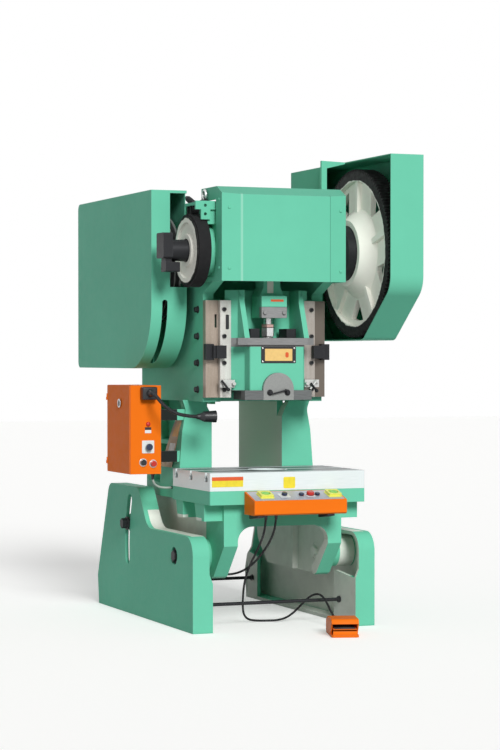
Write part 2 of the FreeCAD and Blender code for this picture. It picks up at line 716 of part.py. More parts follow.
def carriers(piece):
    """Arms for the covers, the cabinet and the motor, and the drilled holes."""
    outer = size.head_outer
    for height in (1290, 1820):
        piece.slab("YZ", outer - 5, size.guard_left - size.seat_gap, ring(660, height, 22))
        piece.slab("YZ", size.belt_cover_right + size.seat_gap, 5 - outer,
                   ring(690, height, 22))
    right = size.cabinet_left + size.cabinet_width + size.seat_gap
    for low in (size.cabinet_bottom + 50, size.cabinet_bottom + 240):
        piece.slab("XZ", size.throat_face + 10, size.throat_face + 44, [
            at(right, low), at(0 - size.column_neck, low),
            at(0 - size.column_neck, low + 50), at(right, low + 50)])
    shelf = size.motor_height - size.motor_radius - 35
    for place in (-255, 25):
        piece.slab("YZ", place, place + 24, [
            at(size.frame_back - 5, shelf - 190), at(size.frame_back + 60, shelf - 190),
            at(size.motor_back + 110, shelf - 60), at(size.motor_back + 110, shelf),
            at(size.frame_back - 5, shelf)])
    for side in (-1, 1):
        centre = (size.pivot_back, size.pivot_height)
        low, high = size.apron_inner + 7, size.leg_outer - 55
        if side < 0:
            low, high = 0 - high, 0 - low
        piece.bore("X", centre, low, high, size.pivot_pin)
        low, high = size.leg_outer - 62, size.leg_outer - size.leg_wall
        if side < 0:
            low, high = 0 - high, 0 - low
        piece.bore("X", (lock_back, lock_height), low, high, size.lock_shank - 1.7)


def table_plate():
    """A thick plate with a drop hole, three T slots across it and four clamping holes."""
    piece = Piece("table_plate")
    half, deep, seat = size.slab_half, size.table_half_deep, table_seat
    piece.slab("XY", seat, table_top, [
        at(0 - half, 0 - deep, rounding=5), at(half, 0 - deep, rounding=5),
        at(half, deep, rounding=5), at(0 - half, deep, rounding=5)],
        ring(0, 0, size.table_drop))
    slot = size.table_slot
    for place in (0 - size.table_slot_place, 0, size.table_slot_place):
        piece.cut("YZ", 0 - half - 1, half + 1, [
            at(place - slot, table_top + 1), at(place - slot, table_top - 22),
            at(place - slot - 8, table_top - 22), at(place - slot - 8, table_top - 40),
            at(place + slot + 8, table_top - 40), at(place + slot + 8, table_top - 22),
            at(place + slot, table_top - 22), at(place + slot, table_top + 1)])


# ---- guides --------------------------------------------------------------
def gib(name, side):
    """A guide bar with the V groove that the ram's edge slides in."""
    piece = Piece(name)
    gap = size.running_gap * 1.4142
    tip = size.vee_reach + gap
    front = tip - size.vee_back
    back = tip - (size.head_front - size.seat_gap - size.vee_back)
    deep = size.head_front - size.seat_gap
    piece.slab("XY", size.gib_bottom, size.gib_bottom + size.gib_height, [
        at(side * front, 0), at(side * size.gib_outer, 0), at(side * size.gib_outer, deep),
        at(side * back, deep), at(side * tip, size.vee_back)])
    for height in gib_screw_heights():
        piece.bore("Y", (side * (size.gib_outer - 18), height), -1, deep + 1, 6.3)


def gib_screw_heights():
    first = size.gib_bottom + 35
    return [first + i * (size.gib_height - 75) / 3 for i in range(4)]


def gib_plates():
    """Side plates that back the guide bars up, one solid on each side."""
    shapes = []
    low = float(size.gib_outer + size.seat_gap)
    width = float(size.head_outer) - low
    for side in (-1, 1):
        x = low if side > 0 else -low - width
        plate = Part.makeBox(width, 34, float(size.gib_height),
                             FreeCAD.Vector(x, float(size.head_front) - 34.3,
                                            float(size.gib_bottom)))
        slot = Part.makeBox(10, 40, 60, FreeCAD.Vector(side * (low + 12) - 5, 20, 1340))
        shapes.append(plate.cut(slot) if side < 0 else plate)
    solid("gib_plates", Part.makeCompound(shapes))


def gib_screws():
    """Cap screws in the front of the guide bars and setting bolts in the head's sides."""
    shapes = []
    cap = Part.makeCylinder(9, 10).cut(prism(6, 9, 12).translated(FreeCAD.Vector(0, 0, 5)))
    cap = cap.fuse(Part.makeCylinder(6, 50, FreeCAD.Vector(0, 0, 0), FreeCAD.Vector(0, 0, -1)))
    for side in (-1, 1):
        for height in gib_screw_heights():
            shapes.append(put(cap, "-Y", side * (size.gib_outer - 18), -0.3, height))
    for side, towards in ((-1, "-X"), (1, "+X")):
        for height in gib_screw_heights():
            shape = bolt(22, 13, 8, 30, washer=3)
            shapes.append(put(shape, towards, side * (size.head_outer + size.seat_gap),
                              size.head_front + 64, height))
    solid("guide_screws", Part.makeCompound(shapes))


def weld_frame(whole):
    """The frame is welded from heavy blocks; part its shape where the welds run."""
    low, high = size.ledge_bottom - size.slab_bottom, size.guard_top + 50
    side, front, back = size.slab_half + 200, size.weld_front, size.frame_back + 200
    wall = size.head_outer - size.head_wall
    floor, roof = size.head_bottom + size.head_floor, size.head_top - size.head_roof
    inner = size.apron_inner
    regions = (
        (0 - side, 0 - inner, low, size.slab_bottom), (0 - inner, inner, low, size.slab_bottom),
        (inner, side, low, size.slab_bottom), (0 - side, side, size.slab_bottom, table_seat),
        (0 - side, 0, table_seat, size.head_bottom), (0, side, table_seat, size.head_bottom),
        (0 - side, 0 - wall, size.head_bottom, high), (wall, side, size.head_bottom, high),
        (0 - wall, wall, size.head_bottom, floor), (0 - wall, wall, floor, roof),
        (0 - wall, wall, roof, high))
    blocks = []
    for left, right, under, over in regions:
        room = doc.addObject("Part::Box", "weld_room")
        starts = (left, front - anchor_middle, under)
        for axis, start in zip("xyz", starts):
            room.setExpression(f".Placement.Base.{axis}", formula(start))
        for field, reach in zip(("Length", "Width", "Height"),
                                (right - left, back - front, over - under)):
            room.setExpression(field, formula(reach))
        block = doc.addObject("Part::Common", "welded_block")
        block.Base, block.Tool = whole.body, room
        blocks.append(block)
    frame = doc.addObject("Part::Compound", "frame_casting")
    frame.Links = blocks
    subparts.remove(whole.body)
    subparts.append(frame)


def drill_for_screws(piece):
    """Holes in the frame that take the guides' screws and bolts."""
    for side in (-1, 1):
        for height in gib_screw_heights():
            piece.bore("Y", (side * (size.gib_outer - 18), height), size.head_front - 5,
                       size.head_front + 5, 6.3)
            low, high = size.head_outer - 32, size.head_outer + 1
            if side < 0:
                low, high = 0 - high, 0 - low
            piece.bore("X", (size.head_front + 64, height), low, high, 8.3)


def knockout_stops():
    """Black stop blocks on the side plates that the knock-out bar strikes."""
    shapes = []
    front = float(size.head_front) - 34.6
    for side in (-1, 1):
        x = 262.0
        base = Part.makeBox(38, 32, 72, FreeCAD.Vector(
            x if side > 0 else -x - 38, front - 32, 1195))
        arm = Part.makeBox(46, 26, 58, FreeCAD.Vector(
            212 if side > 0 else -258, front - 58, 1202))
        link = Part.makeBox(30, 20, 58, FreeCAD.Vector(
            240 if side > 0 else -270, front - 48, 1202))
        shape = base.fuse(arm).fuse(link).removeSplitter()
        shapes.append(shape)
    solid("knockout_stops", Part.makeCompound(shapes))


def knockout_brackets():
    """Cast arms low on the guides, each with a bent lever."""
    shapes = []
    for side in (-1, 1):
        arm = Part.makeBox(70, 16, 34, FreeCAD.Vector(170 if side > 0 else -240, -26.3, 1072))
        foot = Part.makeBox(40, 10, 34, FreeCAD.Vector(182 if side > 0 else -222, -10.3, 1072))
        shape = arm.fuse(foot)
        pin = Part.makeCylinder(8, 16, FreeCAD.Vector(side * 178, -42, 1089),
                                FreeCAD.Vector(0, 1, 0))
        lever = Part.makeCylinder(5, 52, FreeCAD.Vector(side * 226, -34, 1104),
                                  FreeCAD.Vector(side * -0.62, 0, -0.78))
        hold = Part.makeCylinder(7, 14, FreeCAD.Vector(side * 226, -40, 1098),
                                 FreeCAD.Vector(0, 1, 0))
        shapes.append(shape.fuse(pin).fuse(lever).fuse(hold).removeSplitter())
    solid("knockout_brackets", Part.makeCompound(shapes))


# ---- crank, brake and clutch ---------------------------------------------
def crankshaft():
    """One forging: journals, two cheeks and the offset crank pin, at top dead centre."""
    piece = Piece("crankshaft")
    centre = (0, size.crank_height)
    cheek = size.rod_half + 4
    piece.turned("X", centre, at(-470, 0), at(-100, 0), at(-100, size.journal),
                 at(-332, size.journal), at(-332, 52), at(-470, 46))
    piece.turned("X", centre, at(100, 0), at(506, 0), at(506, size.gear_bore - 6),
                 at(500, size.gear_bore - 0.05), at(329, size.gear_bore - 0.05),
                 at(329, size.journal), at(100, size.journal))
    for side in (-1, 1):
        low, high = (cheek, 110) if side > 0 else (-110, 0 - cheek)
        radius = 92
        piece.slab("YZ", low, high, [
            at(0 - radius, size.crank_height - 6, bow=radius),
            at(radius, size.crank_height - 6),
            at(size.crank_pin + 18, pin_height, bow=size.crank_pin + 18),
            at(0 - size.crank_pin - 18, pin_height)])
    piece.turned("X", (0, pin_height), at(0 - cheek - 1, 0), at(cheek + 1, 0),
                 at(cheek + 1, size.crank_pin), at(0 - cheek - 1, size.crank_pin))


def main_bushes():
    """Bronze bushes that carry the crankshaft in the head's two walls."""
    piece = Piece("main_bushes")
    centre = (0, size.crank_height)
    inner = size.journal + size.running_gap
    outer = size.journal + size.bush_wall - 0.05
    for low, high in ((size.head_outer - size.head_wall - 6, size.head_outer + 36),
                      (0 - size.head_outer - 36, 6 + size.head_wall - size.head_outer)):
        piece.turned("X", centre, at(low, inner), at(high, inner), at(high, outer),
                     at(low, outer))


def brake_drum():
    """The drum's pale web stands back inside a black rim."""
    piece = Piece("brake_drum")
    low, high = size.drum_left, size.drum_left + size.drum_width
    rim = size.drum_radius
    piece.turned("X", (0, size.crank_height), at(low, 52.5), at(low, 72), at(low + 10, 76),
                 at(low + 10, rim - 30), at(low, rim - 26), at(low, rim), at(high, rim),
                 at(high, rim - 22), at(high - 22, rim - 28), at(high - 22, 80),
                 at(high, 76), at(high, 52.5))


def brake_band():
    """A split steel band with its lining, closed by two lugs at the top."""
    piece = Piece("brake_band")
    low, high = size.drum_left + 7, size.drum_left + size.drum_width
    inner, outer = size.drum_radius + size.seat_gap, size.band_outer
    piece.turned("X", (0, size.crank_height), at(low, inner), at(high, inner),
                 at(high, outer), at(low, outer))
    top = size.crank_height + outer
    piece.slab("YZ", low + 8, high - 8, [
        at(-26, top - 4), at(26, top - 4), at(26, top + size.band_lug, rounding=6),
        at(-26, top + size.band_lug, rounding=6)])
    piece.cut("YZ", low - 1, high + 1, [
        at(-9, top - 25), at(9, top - 25), at(9, top + size.band_lug + 2),
        at(-9, top + size.band_lug + 2)])


def brake_bracket():
    """A drilled T plate on the lifting lug, with the spring stud that pulls the band."""
    piece = Piece("brake_bracket")
    top = size.head_top - 4
    left, right = 0 - size.head_outer - 97, 0 - size.head_outer - 3
    back = -95 - size.seat_gap
    piece.slab("XZ", back - 12, back, [
        at(left, top), at(left, top - 38), at(left + 26, top - 38), at(left + 26, top - 82),
        at(right - 24, top - 82), at(right - 24, top - 38), at(right, top - 38),
        at(right, top)], ring(left + 46, top - 20, 7), ring(left + 46, top - 58, 7))
    low = size.crank_height + size.band_outer + size.band_lug + size.seat_gap
    piece.slab("XY", low, top - 6, [
        at(left, back - 1), at(left + 12, back - 1), at(left + 12, -4, rounding=5),
        at(left + 44, -4, rounding=5), at(left + 44, 34, rounding=5), at(left, 34, rounding=5)])


def shaft_cam():
    """The black block on the shaft's left end that works the position switch."""
    piece = Piece("shaft_cam")
    height = size.crank_height
    piece.slab("YZ", -515, -470.3, [
        at(-46, height - 36, rounding=8), at(46, height - 36, rounding=8),
        at(46, height + 76, rounding=8), at(-46, height + 76, rounding=8)])
    piece.slab("YZ", -500, -433, [
        at(-34, height - 96, rounding=6), at(28, height - 96, rounding=6),
        at(28, height - 53), at(-34, height - 53)])
    piece.slab("YZ", -500, -471, [
        at(-30, height - 54), at(24, height - 54), at(24, height - 30), at(-30, height - 30)])


def clutch_hub():
    """The black sleeve beside the gear that holds the clutch's turning keys."""
    piece = Piece("clutch_hub")
    radius, bore = size.clutch_radius, size.gear_bore
    piece.turned("X", (0, size.crank_height), at(331, bore), at(size.gear_left - 0.5, bore),
                 at(size.gear_left - 0.5, radius - 14), at(size.gear_left - 16, radius),
                 at(345, radius), at(331, radius - 12))


# ---- gear train ----------------------------------------------------------
def tooth_outline(teeth, centre, first_angle, thickness, addendum):
    """Teeth with sloping flanks round a pitch circle, as one closed outline."""
    module = float(size.tooth_module)
    pitch = module * teeth / 2
    heights = (-1.25 * module, 0, addendum * module)
    slope = math.tan(math.radians(20))
    points = []
    for number in range(teeth):
        middle = first_angle + 2 * math.pi * number / teeth
        for side in (-1, 1):
            for height in heights[::side * -1]:
                half = thickness / 2 - height * slope
                angle = middle + side * half / (pitch + 0.0 * height)
                points.append(FreeCAD.Vector(0, centre[0] + (pitch + height) * math.cos(angle),
                                             centre[1] + (pitch + height) * math.sin(angle)))
    return points


def toothed_disc(teeth, centre, first_angle, left, width, play, addendum=1.0):
    thickness = math.pi * float(size.tooth_module) / 2 - play
    points = tooth_outline(teeth, centre, first_angle, thickness, addendum)
    for extra in range(len(points) - 1, -1, -1):
        if extra % 3 == 1:
            del points[extra]
    points.append(points[0])
    face = Part.Face(Part.makePolygon([p + FreeCAD.Vector(left, 0, 0) for p in points]))
    return face.extrude(FreeCAD.Vector(width, 0, 0))


def mesh_angle():
    """The direction from the crank's axis to the countershaft's."""
    return math.atan2(float(shaft_height - size.crank_height), float(size.shaft_back))


def drive_gear():
    """The big gear: a toothed rim, five ribbed arms with openings between them, and a
    dished hub that reaches round the clutch."""
    height, left = float(size.crank_height), float(size.gear_left)
    width, rim, hub = float(size.gear_width), float(size.gear_rim), float(size.gear_hub)
    web, reach, arm = float(size.gear_web), float(size.hub_reach), float(size.arm_width)
    along = FreeCAD.Vector(1, 0, 0)
    web_left = left + (width - web) / 2
    web_right = web_left + web

    def disc(start, thick, radius):
        return Part.makeCylinder(radius, thick, FreeCAD.Vector(start, 0, height), along)

    teeth = int(float(size.gear_teeth))
    ring_gear = toothed_disc(teeth, (0.0, height), mesh_angle(), left, width, 0.5)
    ring_gear = ring_gear.cut(disc(left - 1, width + 2, rim))
    blank = disc(web_left, web, rim + 3)
    dish = Part.makeCone(hub, float(size.gear_dish), web_left + 1 - left + reach,
                         FreeCAD.Vector(left - reach, 0, height), along)
    blank = blank.fuse(dish).fuse(disc(web_right - 1, left + width - web_right + 1, hub))
    clutch = float(size.clutch_radius) + 3
    blank = blank.cut(disc(left - reach - 1, reach + 7, clutch))
    arms = 5
    for number in range(arms):
        turn = FreeCAD.Rotation(along, 360 * number / arms + 3)
        length = rim - hub + 16
        rib = Part.makeBox(web_left + 2 - left - 6, arm, length,
                           FreeCAD.Vector(left + 6, -arm / 2, hub - 8))
        back = Part.makeBox(left + width - 4 - web_right + 2, arm, length,
                            FreeCAD.Vector(web_right - 2, -arm / 2, hub - 8))
        window = window_between((float(size.gear_dish) + 7, 9), (rim - 24, 66),
                                web_left - 5, web + 10)
        between = turn.multiply(FreeCAD.Rotation(along, 180 / arms))
        for shape, angle in ((rib, turn), (back, turn), (window, between)):
            shape.Placement = FreeCAD.Placement(FreeCAD.Vector(0, 0, height), angle)
        blank = blank.fuse(rib).fuse(back).cut(window)
    blank = blank.cut(disc(left - reach - 1, width + reach + 2, float(size.gear_bore)))
    solid("drive_gear", ring_gear.fuse(blank).removeSplitter())


def window_between(narrow, wide, left, depth):
    """One opening between two arms, pointing along +Z: each end is a radius and half
    the opening's width there."""
    corners = []
    for radius, half in (narrow, wide):
        spread = half / radius
        corners.append([FreeCAD.Vector(left, -radius * math.sin(spread),
                                       radius * math.cos(spread)),
                        FreeCAD.Vector(left, 0, radius),
                        FreeCAD.Vector(left, radius * math.sin(spread),
                                       radius * math.cos(spread))])
    (a, b, c), (d, e, f) = corners
    wire = Part.Wire([Part.Arc(a, b, c).toShape(), Part.LineSegment(c, f).toShape(),
                      Part.Arc(f, e, d).toShape(), Part.LineSegment(d, a).toShape()])
    return Part.Face(wire).extrude(FreeCAD.Vector(depth, 0, 0))


def pinion_shaft():
    """The countershaft with its pinion cut from the same bar."""
    back, height = float(size.shaft_back), float(shaft_height)
    along = FreeCAD.Vector(1, 0, 0)
    shaft = Part.makeCylinder(float(size.shaft_radius) - float(size.running_gap), 1000,
                              FreeCAD.Vector(-488, back, height), along)
    collar = Part.makeCylinder(46, 17, FreeCAD.Vector(308.3, back, height), along)
    teeth = int(float(size.pinion_teeth))
    first = mesh_angle() + math.pi + math.pi / teeth
    pinion = toothed_disc(teeth, (back, height), first, float(size.gear_left) - 3,
                          float(size.gear_width) + 6, 1.4, 0.9)
    solid("pinion_shaft", shaft.fuse(collar).fuse(pinion).removeSplitter())


def shaft_bearings():
    """Flanged bearings that carry the countershaft in the head's walls."""
    piece = Piece("shaft_bearings")
    centre = (size.shaft_back, shaft_height)
    inner, outer = size.shaft_radius, size.shaft_radius + 24.95
    for side in (-1, 1):
        face = size.head_outer + 10
        profile = [at(side * (size.head_outer - size.head_wall), inner), at(side * (face + 8), inner),
                   at(side * (face + 8), outer + 20), at(side * (face + 0.3), outer + 20),
                   at(side * (face + 0.3), outer),
                   at(side * (size.head_outer - size.head_wall), outer)]
        piece.turned("X", centre, *profile)


def groove_profile(left, radius, grooves, first):
    """The outside of a pulley, with one V groove for each belt, from left to right."""
    corners = [at(left, radius)]
    for number in range(grooves):
        place = left + first + number * size.belt_pitch
        corners += [at(place - 10, radius), at(place - 5, radius - 15),
                    at(place + 5, radius - 15), at(place + 10, radius)]
    return corners


BELTS = 5


def flywheel():
    """A heavy grooved rim on a thin web; the belts run in its grooves."""
    piece = Piece("flywheel")
    left, width, radius = size.flywheel_left, size.flywheel_width, size.flywheel_radius
    right = left + width
    profile = groove_profile(left, radius, BELTS, 20)
    profile += [at(right, radius), at(right, radius - 62), at(right - 50, radius - 66),
                at(right - 50, 84), at(right, 78), at(right, size.shaft_radius),
                at(left, size.shaft_radius), at(left, 78), at(left + 50, 84),
                at(left + 50, radius - 66), at(left, radius - 62)]
    piece.turned("X", (size.shaft_back, shaft_height), *profile)
    for number in range(5):
        angle = 2 * math.pi * number / 5
        piece.cut("YZ", left + 48, right - 48, ring(
            size.shaft_back + 132 * math.cos(angle), shaft_height + 132 * math.sin(angle), 30))


def motor_pulley():
    piece = Piece("motor_pulley")
    left, width, radius = size.flywheel_left, size.flywheel_width, size.pulley_radius
    profile = groove_profile(left, radius, BELTS, 20)
    profile += [at(left + width, radius), at(left + width, 34), at(left + width + 12, 19),
                at(-298, 19), at(-298, 0), at(left + 30, 0), at(left + 30, 40), at(left, 44)]
    piece.turned("X", (size.motor_back, size.motor_height), *profile)


def belt_loop(large, small, dy, dz):
    """An outline round two circles: two tangents and two arcs."""
    distance = math.hypot(dy, dz)
    heading = math.atan2(dz, dy)
    swing = math.acos((large - small) / distance)

    def spot(centre, radius, angle):
        return FreeCAD.Vector(0, centre[0] + radius * math.cos(angle),
                              centre[1] + radius * math.sin(angle))

    far = (dy, dz)
    top, low = heading + swing, heading - swing
    a, b = spot((0, 0), large, top), spot(far, small, top)
    c, d = spot(far, small, low), spot((0, 0), large, low)
    return Part.Wire([Part.LineSegment(a, b).toShape(),
                      Part.Arc(b, spot(far, small, heading), c).toShape(),
                      Part.LineSegment(c, d).toShape(),
                      Part.Arc(d, spot((0, 0), large, heading + math.pi), a).toShape()])


def drive_belts():
    """Five flat sided belts from the motor pulley to the flywheel."""
    dy = float(size.motor_back - size.shaft_back)
    dz = float(size.motor_height - shaft_height)
    shapes = []
    for number in range(BELTS):
        middle = float(size.flywheel_left) + 20 + number * float(size.belt_pitch)
        outside = belt_loop(float(size.flywheel_radius) - 1, float(size.pulley_radius) - 1,
                            dy, dz)
        inside = belt_loop(float(size.flywheel_radius) - 11, float(size.pulley_radius) - 11,
                           dy, dz)
        face = Part.makeFace([outside, inside], "Part::FaceMakerBullseye")
        belt = face.extrude(FreeCAD.Vector(11, 0, 0))
        belt.translate(FreeCAD.Vector(middle - 5.5, float(size.shaft_back),
                                      float(shaft_height)))
        shapes.append(belt)
    solid("drive_belts", Part.makeCompound(shapes))


def motor():
    """A finned motor with end shields, feet, a terminal box and a fan cowl."""
    piece = Piece("motor")
    radius, back, height = size.motor_radius, size.motor_back, size.motor_height
    left = -300
    right = left + size.motor_length
    centre = (back, height)
    piece.turned("X", centre, at(left, 20), at(left, radius - 30), at(left + 12, radius - 6),
                 at(left + 30, radius), at(left + 44, radius), at(left + 44, radius - 12),
                 at(right - 96, radius - 12), at(right - 96, radius), at(right - 84, radius),
                 at(right - 84, radius - 4), at(right - 10, radius - 8, rounding=4),
                 at(right, radius - 22), at(right, 0), at(left + 20, 0), at(left + 20, 20))
    teeth = 20
    for number in range(teeth):
        angle = 360 / teeth * (number + 0.5)
        if abs(angle - 270) > 30 and abs(angle - 90) > 30:
            along, up = math.cos(math.radians(angle)), math.sin(math.radians(angle))
            piece.slab("YZ", left + 40, right - 92, [
                at(back + along * (radius - 16) - up * 2.5,
                   height + up * (radius - 16) + along * 2.5),
                at(back + along * (radius - 16) + up * 2.5,
                   height + up * (radius - 16) - along * 2.5),
                at(back + along * radius + up * 2.5, height + up * radius - along * 2.5),
                at(back + along * radius - up * 2.5, height + up * radius + along * 2.5)])
    base = height - radius - 14
    for start in (left + 52, right - 150):
        piece.slab("YZ", start, start + 44, [
            at(back - 92, base), at(back + 92, base), at(back + 92, base + 14),
            at(back + 60, base + 50), at(back - 60, base + 50), at(back - 92, base + 14)])
    piece.slab("XY", height + radius - 20, height + radius + 34, [
        at(left + 90, back - 42, rounding=8), at(left + 90, back + 42, rounding=8),
        at(left + 180, back + 42, rounding=8), at(left + 180, back - 42, rounding=8)])


def motor_plate():
    """The slotted plate that the motor is bolted to, on the frame's two arms."""
    shelf = size.motor_height - size.motor_radius - 35 + size.seat_gap
    top = size.motor_height - size.motor_radius - 14 - size.seat_gap
    piece = Piece("motor_plate")
    piece.slab("XY", shelf, top, [
        at(-268, size.motor_back - 118, rounding=8), at(60, size.motor_back - 118, rounding=8),
        at(60, size.motor_back + 106, rounding=8), at(-268, size.motor_back + 106, rounding=8)])
    for x in (-160, -40):
        piece.cut("XY", shelf - 1, top + 1, [
            at(x, size.motor_back - 70), at(x + 16, size.motor_back - 70),
            at(x + 16, size.motor_back + 70), at(x, size.motor_back + 70)])


# ---- connecting rod, adjusting screw and ram -----------------------------
def conrod():
    """Lower half of the big end, a square shank and the screwed foot that is clamped."""
    piece = Piece("conrod")
    half, eye = size.rod_half, size.rod_eye
    piece.slab("YZ", 0 - half, half, [
        at(0 - eye, pin_height - 0.15, bow=eye), at(eye, pin_height - 0.15)])
    piece.slab("XZ", -48, 48, [
        at(-40, pin_height - 60), at(-40, size.lock_top + 40, rounding=30),
        at(-59, size.lock_top, rounding=8), at(-59, size.lock_bottom, rounding=5),
        at(59, size.lock_bottom, rounding=5), at(59, size.lock_top, rounding=8),
        at(40, size.lock_top + 40, rounding=30), at(40, pin_height - 60)])
    for side in (-1, 1):
        piece.slab("XY", pin_height - 34, pin_height - 0.15, [
            at(-46, side * (eye - 12)), at(46, side * (eye - 12)),
            at(46, side * (stud_place + 16)), at(-46, side * (stud_place + 16))])
    piece.bore("X", (0, pin_height), 0 - half - 1, half + 1, size.crank_pin + size.running_gap)
    piece.bore("Z", (0, 0), size.lock_bottom - 1, size.lock_top + 60,
               size.screw_radius + size.running_gap)
    piece.cut("YZ", -2, 2, [at(-49, size.lock_bottom - 1), at(-10, size.lock_bottom - 1),
                            at(-10, size.lock_top), at(-49, size.lock_top)])
    for side in (-1, 1):
        for x in (-26, 26):
            piece.bore("Z", (x, side * stud_place), pin_height - 35, pin_height, 9.3)


def conrod_cap():
    """Upper half of the big end."""
    piece = Piece("conrod_cap")
    half, eye = size.rod_half, size.rod_eye
    piece.slab("YZ", 0 - half, half, [
        at(eye, pin_height + 0.15, bow=eye), at(0 - eye, pin_height + 0.15)])
    for side in (-1, 1):
        piece.slab("XY", pin_height + 0.15, pin_height + 34, [
            at(-46, side * (eye - 12)), at(46, side * (eye - 12)),
            at(46, side * (stud_place + 16)), at(-46, side * (stud_place + 16))])
    piece.bore("X", (0, pin_height), 0 - half - 1, half + 1, size.crank_pin + size.running_gap)
    for side in (-1, 1):
        for x in (-26, 26):
            piece.bore("Z", (x, side * stud_place), pin_height - 1, pin_height + 35, 9.3)


def conrod_bolts():
    """Four studs through the big end."""
    shapes = []
    shape = bolt(26, 14, 9, 68).fuse(
        prism(6, 26, 14).translated(FreeCAD.Vector(0, 0, -68.3 - 14)))
    for side in (-1, 1):
        for x in (-26, 26):
            shapes.append(put(shape, "+Z", x, side * stud_place,
                              pin_height + 34 + size.seat_gap))
    solid("conrod_bolts", Part.makeCompound(shapes))


def conrod_lock():
    """The clamp on the rod's foot: a green upper pad, a grey jaw and two screws."""
    piece = Piece("conrod_lock")
    front, back = -76, -48 - size.seat_gap
    low, high = size.lock_bottom, size.lock_top
    piece.slab("XZ", front, back, [
        at(-61, low, rounding=4), at(61, low, rounding=4), at(61, high, rounding=4),
        at(-61, high, rounding=4)])
    piece.cut("XZ", front - 1, front + 3, [at(-62, low + 47), at(62, low + 47),
                                           at(62, low + 50), at(-62, low + 50)])
    for x in (-46, 46):
        piece.turned("Y", (x, low + 24), at(front - 9, 0), at(front - 9, 7.5),
                     at(front - 7, 9), at(front + 1, 9), at(front + 1, 0))


def ball_screw():
    """The adjusting screw: a ball, a six sided grip and the thread in the rod."""
    piece = Piece("ball_screw")
    ball, low = size.ball_radius, size.ball_height
    neck = 17
    rise = root(ball * ball - neck * neck)
    piece.turned("Z", (0, 0), at(low - ball, 0), at(size.lock_top + 20, 0),
                 at(size.lock_top + 20, size.screw_radius - 3),
                 at(size.lock_top + 17, size.screw_radius),
                 at(size.lock_bottom - 42, size.screw_radius), at(size.lock_bottom - 46, neck),
                 at(low + rise, neck, bow=0 - ball))
    across = 26
    reach = across / math.cos(math.pi / 6)
    piece.slab("XY", size.lock_bottom - 82, size.lock_bottom - 44, [
        at(reach * math.cos(math.pi * i / 3), reach * math.sin(math.pi * i / 3))
        for i in range(6)])


def ram():
    """The sliding block: V edges, front panel, pocket for the ball, ribs and foot."""
    piece = Piece("ram")
    half, front, tip, back = size.ram_half, size.ram_front, size.vee_reach, size.vee_back
    root_front = back - (tip - half)
    root_back = back + (tip - half)
    section = [at(half, root_front), at(tip, back), at(half, root_back),
               at(0 - half, root_back), at(0 - tip, back), at(0 - half, root_front)]
    foot = size.ram_bottom + size.ram_flange
    piece.slab("XY", foot - 2, size.ram_top, [
        at(0 - half, front, rounding=8), at(half, front, rounding=8), *section])
    # grey foot and the collar above the panel
    piece.slab("XY", size.ram_bottom, foot, [
        at(-161, size.clamp_front), at(161, size.clamp_front), at(161, root_front - 34),
        at(half, root_front - 32), at(half, root_back), at(0 - half, root_back),
        at(0 - half, root_front - 32), at(-161, root_front - 34)])
    piece.slab("XY", size.ram_top - 31, size.ram_top, [
        at(-183, front + 14), at(-183, front + 34), at(-half, front + 50),
        at(half, front + 50), at(183, front + 34), at(183, front + 14),
        at(half + 12, front - 12), at(0 - half - 12, front - 12)])
    # the guide edges and back wall go up between the gibs
    piece.slab("XY", size.ram_top - 1, size.ram_rib_top, [
        at(half, 62), at(half, root_front), at(tip, back), at(half, root_back),
        at(0 - half, root_back), at(0 - tip, back), at(0 - half, root_front),
        at(0 - half, 62)])
    for side in (-1, 1):
        low, high = (half, half + 24) if side > 0 else (0 - half - 24, 0 - half)
        piece.slab("YZ", low, high, [
            at(front, size.ram_top - 1), at(root_front + 45, size.ram_top - 1),
            at(root_front + 45, size.ram_rib_top), at(front + 85, size.ram_rib_top)])
    pocket(piece)


def pocket(piece):
    """The well for the ball, the seat under it, and the seat of the shank clamp."""
    radius = size.clamp_radius + size.seat_gap
    seat_top = size.ram_bottom + 48
    piece.cut("XY", 1165, size.ram_top + 1, [
        at(-62, -92, rounding=12), at(62, -92, rounding=12), at(62, 61, rounding=12),
        at(-62, 61, rounding=12)])
    piece.cut("XZ", size.clamp_front - 1, 0, [
        at(0 - radius, size.ram_bottom - 1), at(radius, size.ram_bottom - 1),
        at(radius, seat_top, bow=radius), at(0 - radius, seat_top)])
    piece.bore("Z", (0, 0), size.ram_bottom - 1, size.ram_bottom + size.shank_length,
               size.shank_radius)


def ball_seat():
    """The cup in the ram's well, and the two halves of the ball's keeper."""
    piece = Piece("ball_seat")
    piece.turned("Z", (0, 0), at(1165.3, 0), at(1165.3, 55), at(1205, 55),
                 at(1205, 46, bow=-100), at(1194, 0))
    for side in (-1, 1):
        low, high = (64, 112) if side > 0 else (-112, -64)
        piece.slab("XY", size.ram_top + size.seat_gap, size.ram_top + 42, [
            at(low, -64, rounding=5), at(high, -64, rounding=5), at(high, 30, rounding=5),
            at(low, 30, rounding=5)])


def shank_clamp():
    """The round topped clamp in the ram's foot; its back is half the shank hole."""
    piece = Piece("shank_clamp")
    radius, low = size.clamp_radius, size.ram_bottom
    piece.slab("XZ", size.clamp_front - 2, 0 - size.seat_gap, [
        at(0 - radius, low), at(radius, low), at(radius, low + 48, bow=radius),
        at(0 - radius, low + 48)])
    piece.bore("Z", (0, 0), low - 1, low + size.shank_length, size.shank_radius)


